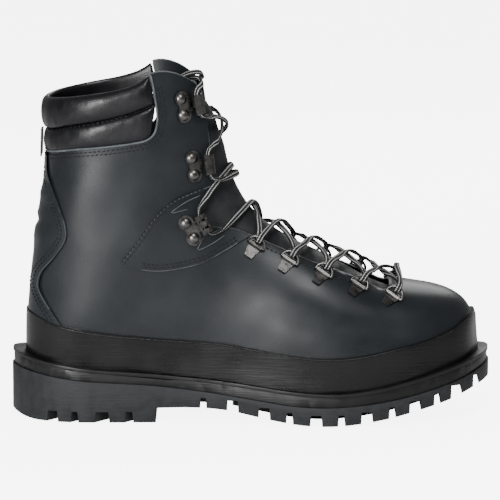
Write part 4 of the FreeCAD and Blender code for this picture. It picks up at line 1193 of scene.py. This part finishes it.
@dataclass
class Metal:
    """Rings, clips, hooks and rivets, kept as the frame has them."""

    def build(self) -> None:
        """Give every metal node its finish, and the hidden parts theirs."""
        finishes = {"ring_": GUNMETAL, "hook_": GUNMETAL, "cork_filler": CORK_MIX, "shank": SHANK_STEEL,
                    "insole_board": BOARD, "heel_counter": TIP_PLASTIC, "toe_puff": TIP_PLASTIC,
                    "aglet_": TIP_PLASTIC}
        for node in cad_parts:
            for start, finish in finishes.items():
                if node.startswith(start):
                    piece = bpy.data.objects[node]
                    piece.data.materials.clear()
                    piece.data.materials.append(finish.material())
                    smooth(piece, 35.0)
                    LOG.info("%s: %s", node, finish.name)


@dataclass
class Lace:
    """Flat striped braid that zigzags through the hooks and rings."""

    width: float = 4.0
    thick: float = 2.0
    corners: int = 12

    # The route has the points of the frame's lace, in metres.
    route: tuple[tuple[float, float, float], ...] = (
        # outer end, up from the shaft and over the tongue
        (-0.06, -0.013, 0.15), (-0.06, -0.013, 0.164), (-0.0605, -0.0125, 0.182), (-0.059, -0.0115, 0.201),
        (-0.053, -0.0105, 0.2145), (-0.0435, -0.0105, 0.223), (-0.0335, -0.015, 0.2245),
        (-0.031, -0.0225, 0.221),
        # outer upper hook, down through it, and over to the inner side
        (-0.036, -0.028, 0.2165), (-0.033, -0.0265, 0.1995), (-0.0265, -0.0215, 0.1995),
        (-0.0208, -0.013, 0.198), (-0.0158, -0.004, 0.194), (-0.0153, 0.005, 0.19), (-0.018, 0.014, 0.1855),
        (-0.023, 0.022, 0.181),
        # inner middle hook
        (-0.0285, 0.028, 0.1775), (-0.0265, 0.0285, 0.1605), (-0.02, 0.0232, 0.1588),
        (-0.0142, 0.014, 0.1624), (-0.0116, 0.003, 0.1648), (-0.0138, -0.009, 0.1639),
        (-0.0193, -0.0202, 0.1589), (-0.0258, -0.029, 0.1518), (-0.0304, -0.0346, 0.1454),
        # outer lower hook
        (-0.035, -0.036, 0.1385), (-0.027, -0.0355, 0.123), (-0.0195, -0.034, 0.1255),
        (-0.0115, -0.026, 0.132), (-0.004, -0.015, 0.138), (0.001, -0.004, 0.1415), (0.003, 0.005, 0.1395),
        (0.005, 0.0155, 0.1335),
        # inner ring 1
        (0.0065, 0.025, 0.1255), (0.0048, 0.0232, 0.1202), (0.0053, 0.0288, 0.1182),
        (0.0075, 0.0305, 0.1228), (0.012, 0.019, 0.1245), (0.0155, 0.006, 0.1264), (0.0195, -0.007, 0.125),
        (0.0245, -0.0195, 0.1215),
        # outer ring 2
        (0.0285, -0.0305, 0.1155), (0.0268, -0.0292, 0.1102), (0.0268, -0.0352, 0.1092),
        (0.029, -0.0365, 0.1138), (0.0345, -0.024, 0.1155), (0.0385, -0.011, 0.1172), (0.042, 0.001, 0.117),
        (0.0465, 0.015, 0.1125),
        # inner ring 3
        (0.0505, 0.0275, 0.1075), (0.0493, 0.0272, 0.1017), (0.0488, 0.0332, 0.1012),
        (0.051, 0.0345, 0.1063), (0.057, 0.0215, 0.1055), (0.0605, 0.009, 0.1052),
        (0.0645, -0.0035, 0.1042), (0.069, -0.0155, 0.102),
        # outer ring 4
        (0.074, -0.0265, 0.0985), (0.0718, -0.0272, 0.0927), (0.0727, -0.0336, 0.0931),
        (0.0755, -0.033, 0.0978), (0.0795, -0.021, 0.0975), (0.0835, -0.008, 0.0976),
        (0.088, 0.0045, 0.0965), (0.093, 0.016, 0.094),
        # inner ring 5, and straight across
        (0.0975, 0.027, 0.0905), (0.0953, 0.0282, 0.0852), (0.0949, 0.0341, 0.0857),
        (0.097, 0.0345, 0.0908), (0.097, 0.022, 0.0953), (0.0964, 0.009, 0.096), (0.0966, -0.0045, 0.0958),
        (0.0972, -0.018, 0.0946),
        # outer ring 5
        (0.098, -0.031, 0.0908), (0.0953, -0.0307, 0.0857), (0.0953, -0.0247, 0.0852),
        (0.0975, -0.0235, 0.0905), (0.0925, -0.0125, 0.0928), (0.088, -0.001, 0.0933),
        (0.084, 0.0105, 0.094), (0.0805, 0.022, 0.0955),
        # inner ring 4
        (0.075, 0.034, 0.0983), (0.0723, 0.0342, 0.0932), (0.0723, 0.0282, 0.0927), (0.074, 0.027, 0.0985),
        (0.07, 0.0155, 0.103), (0.066, 0.0035, 0.1072), (0.062, -0.009, 0.1083), (0.058, -0.023, 0.1075),
        # outer ring 3
        (0.052, -0.0365, 0.1063), (0.0493, -0.0362, 0.1012), (0.0493, -0.0302, 0.1017),
        (0.0505, -0.03, 0.1075), (0.0465, -0.0175, 0.1115), (0.042, -0.0045, 0.1136),
        (0.038, 0.008, 0.1144), (0.034, 0.0205, 0.114),
        # inner ring 2
        (0.0285, 0.032, 0.1143), (0.0268, 0.0302, 0.1092), (0.0273, 0.0242, 0.1102),
        (0.0285, 0.0255, 0.116), (0.025, 0.0145, 0.1215), (0.0215, 0.0025, 0.1276),
        (0.0175, -0.0095, 0.1292), (0.0115, -0.0245, 0.126),
        # outer ring 1
        (0.007, -0.036, 0.1228), (0.0048, -0.0342, 0.1182), (0.0048, -0.0282, 0.1202),
        (0.006, -0.0305, 0.1255), (0.005, -0.0185, 0.1315), (0.0035, -0.007, 0.136), (0.0005, 0.003, 0.139),
        (-0.0045, 0.014, 0.136), (-0.012, 0.025, 0.1305), (-0.0195, 0.033, 0.1255),
        # inner lower hook
        (-0.027, 0.035, 0.123), (-0.0345, 0.036, 0.1385), (-0.03, 0.0335, 0.146), (-0.024, 0.0265, 0.1515),
        (-0.0155, 0.016, 0.1565), (-0.0085, 0.004, 0.1595), (-0.0085, -0.0075, 0.16),
        (-0.013, -0.0185, 0.1595), (-0.0205, -0.0265, 0.158),
        # outer middle hook
        (-0.0265, -0.0285, 0.1605), (-0.0285, -0.028, 0.1775), (-0.023, -0.022, 0.181),
        (-0.0195, -0.013, 0.1863), (-0.0186, -0.004, 0.1906), (-0.0193, 0.005, 0.1946),
        (-0.0218, 0.014, 0.198), (-0.0265, 0.0215, 0.1995),
        # inner upper hook, over the tongue and down into the shaft
        (-0.033, 0.0265, 0.1995), (-0.036, 0.028, 0.2165), (-0.031, 0.0225, 0.221), (-0.034, 0.015, 0.2245),
        (-0.044, 0.0105, 0.223), (-0.0535, 0.011, 0.214), (-0.059, 0.012, 0.2005), (-0.0605, 0.013, 0.1815),
        (-0.06, 0.013, 0.164), (-0.06, 0.013, 0.15),
    )

    def centreline(self) -> list[Vector]:
        """Smooth line through the route, read from its spline.

        Returns:
            Points in metres, in order.
        """
        data = bpy.data.curves.new("lace_route", "CURVE")
        data.dimensions = "3D"
        data.resolution_u = 12
        spline = data.splines.new("NURBS")
        spline.points.add(len(self.route) - 1)
        for control, spot in zip(spline.points, self.route):
            control.co = (*spot, 1.0)
        spline.order_u = 3
        spline.use_endpoint_u = True
        holder = bpy.data.objects.new("lace_route", data)
        bpy.context.scene.collection.objects.link(holder)
        bpy.context.view_layer.update()
        mesh = bpy.data.meshes.new_from_object(holder)
        line = [vertex.co.copy() for vertex in mesh.vertices]
        bpy.data.objects.remove(holder)
        bpy.data.meshes.remove(mesh)
        return line

    def widths(self, line: Sequence[Vector], reach: int = 5, soften: int = 9) -> list[Vector]:
        """Direction of the braid's width at each point: square to the plane in which it bends.

        Args:
            line: the centreline.
            reach: points on each side that a bend is judged by.
            soften: points on each side that directions are averaged over.

        Returns:
            Unit directions.
        """
        last = len(line) - 1
        raw: list[Vector] = []
        held = Vector((0.0, 1.0, 0.0))
        for index in range(len(line)):
            before = line[index] - line[max(index - reach, 0)]
            after = line[min(index + reach, last)] - line[index]
            bend = before.cross(after)
            if before.length > 0.0 and after.length > 0.0:
                bend = bend / (before.length * after.length)
            if bend.dot(held) < 0.0:
                bend = -bend
            if bend.length > 0.02:
                held = bend.normalized()
            raw.append(held * max(bend.length, 0.05))
        out: list[Vector] = []
        for index in range(len(line)):
            total = Vector((0.0, 0.0, 0.0))
            for near in range(max(index - soften, 0), min(index + soften, last) + 1):
                total += raw[near]
            along = (line[min(index + 1, last)] - line[max(index - 1, 0)]).normalized()
            total -= along * total.dot(along)
            out.append(total.normalized())
        return out

    def build(self) -> None:
        line = self.centreline()
        sides = self.widths(line)
        half, rise = 0.5 * self.width * MM, 0.5 * self.thick * MM
        points: list[Vector] = []
        lengths = [0.0]
        for before, after in zip(line, line[1:]):
            lengths.append(lengths[-1] + (after - before).length)
        last = len(line) - 1
        for index, (here, across) in enumerate(zip(line, sides)):
            along = (line[min(index + 1, last)] - line[max(index - 1, 0)]).normalized()
            up = across.cross(along).normalized()
            for corner in range(self.corners):
                turn = TAU * corner / self.corners
                flat = math.copysign(abs(math.cos(turn)) ** 0.8, math.cos(turn))
                points.append(here + across * flat * half + up * math.sin(turn) * rise)
        faces: list[list[int]] = []
        for index in range(last):
            for corner in range(self.corners):
                after = (corner + 1) % self.corners
                a, b = index * self.corners, (index + 1) * self.corners
                faces.append([a + corner, b + corner, b + after, a + after])
        faces.append(list(range(self.corners)))
        faces.append([last * self.corners + corner for corner in reversed(range(self.corners))])
        piece = mesh_piece("lace_braid", points, faces)
        layer = piece.data.uv_layers.new(name="braid")
        for polygon in piece.data.polygons:
            if len(polygon.vertices) != 4:
                continue
            index, corner = divmod(polygon.index, self.corners)
            for loop, (step, side) in zip(polygon.loop_indices, ((0, 0), (1, 0), (1, 1), (0, 1))):
                layer.data[loop].uv = (lengths[index + step], (corner + side) / self.corners)
        smooth(piece, 60.0)
        dress(piece, LACE_BRAID)
        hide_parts("lace")
        LOG.info("lace: %.3f m", lengths[-1])


@dataclass
class Studio:
    """White floor, soft lights and the camera."""

    distance: float = 3.0
    elevation: float = 9.3
    aim: tuple[float, float, float] = (-0.0005, 0.0, 0.1077)
    lens: float = 327.9
    paper: float = 6.0
    sky: float = 0.28

    def build(self) -> None:
        """Set up floor, world, lights and camera."""
        clear_selection()
        bpy.ops.mesh.primitive_plane_add(size=6.0, location=(0.0, 0.0, -0.0006))
        floor = bpy.context.active_object
        floor.name = "floor"
        white = bpy.data.materials.new("white_floor")
        white.use_nodes = True
        shader = white.node_tree.nodes["Principled BSDF"]
        shader.inputs["Base Color"].default_value = (0.95, 0.95, 0.95, 1.0)
        shader.inputs["Roughness"].default_value = 0.9
        shader.inputs["Emission Color"].default_value = (1.0, 1.0, 1.0, 1.0)
        self.seen_glow(white.node_tree, shader.inputs["Emission Strength"], 0.0)
        floor.data.materials.append(white)
        world = bpy.data.worlds.new("studio")
        world.use_nodes = True
        world.node_tree.nodes["Background"].inputs["Color"].default_value = (1.0, 1.0, 1.0, 1.0)
        self.seen_glow(world.node_tree, world.node_tree.nodes["Background"].inputs["Strength"], self.sky)
        bpy.context.scene.world = world
        self.lamp("key", (-0.62, -1.15, 0.34), (-0.06, 0.0, 0.14), 0.42, 20.0)
        self.lamp("front", (0.15, -0.9, 1.1), (0.05, 0.0, 0.08), 0.4, 11.0)
        self.lamp("back", (0.3, 1.2, 1.1), (0.0, 0.0, 0.12), 1.0, 14.0)
        self.camera()

    def seen_glow(self, tree: bpy.types.NodeTree, strength: bpy.types.NodeSocket, unseen: float) -> None:
        """Make a backdrop look like white paper while it lights the boot less.

        Args:
            tree: the node tree of the world or the floor.
            strength: the socket that sets how bright it is.
            unseen: its brightness for all but what is looked at directly.
        """
        rays = tree.nodes.new("ShaderNodeLightPath")
        level = tree.nodes.new("ShaderNodeMapRange")
        level.inputs["To Min"].default_value = unseen
        level.inputs["To Max"].default_value = self.paper
        tree.links.new(rays.outputs["Is Camera Ray"], level.inputs["Value"])
        tree.links.new(level.outputs["Result"], strength)

    def lamp(self, name: str, place: tuple[float, float, float], aim: tuple[float, float, float],
             width: float, power: float) -> None:
        """Add a square soft light.

        Args:
            name: the light's name.
            place: where it stands.
            aim: the point it faces.
            width: its side in metres.
            power: its power in watts.
        """
        data = bpy.data.lights.new(name, "AREA")
        data.size = width
        data.energy = power
        lamp = bpy.data.objects.new(name, data)
        lamp.location = place
        lamp.visible_camera = False
        lamp.rotation_euler = (Vector(aim) - Vector(place)).to_track_quat("-Z", "Y").to_euler()
        bpy.context.scene.collection.objects.link(lamp)

    def camera(self) -> None:
        """Place the camera level with the boot's side."""
        tilt = math.radians(self.elevation)
        aim = Vector(self.aim)
        place = aim + Vector((0.0, -math.cos(tilt), math.sin(tilt))) * self.distance
        data = bpy.data.cameras.new("camera")
        data.lens = self.lens
        data.sensor_width = 36.0
        camera = bpy.data.objects.new("camera", data)
        camera.location = place
        camera.rotation_euler = (aim - place).to_track_quat("-Z", "Y").to_euler()
        bpy.context.scene.collection.objects.link(camera)
        bpy.context.scene.camera = camera


def main() -> None:
    """Build the boot piece by piece."""
    logging.basicConfig(level=logging.INFO, format="%(message)s")
    for part in (Sole(), Upper(), Rand(), Collar(), Inside(), Metal(), Lace(), Studio()):
        part.build()


if __name__ == "__main__":
    main()
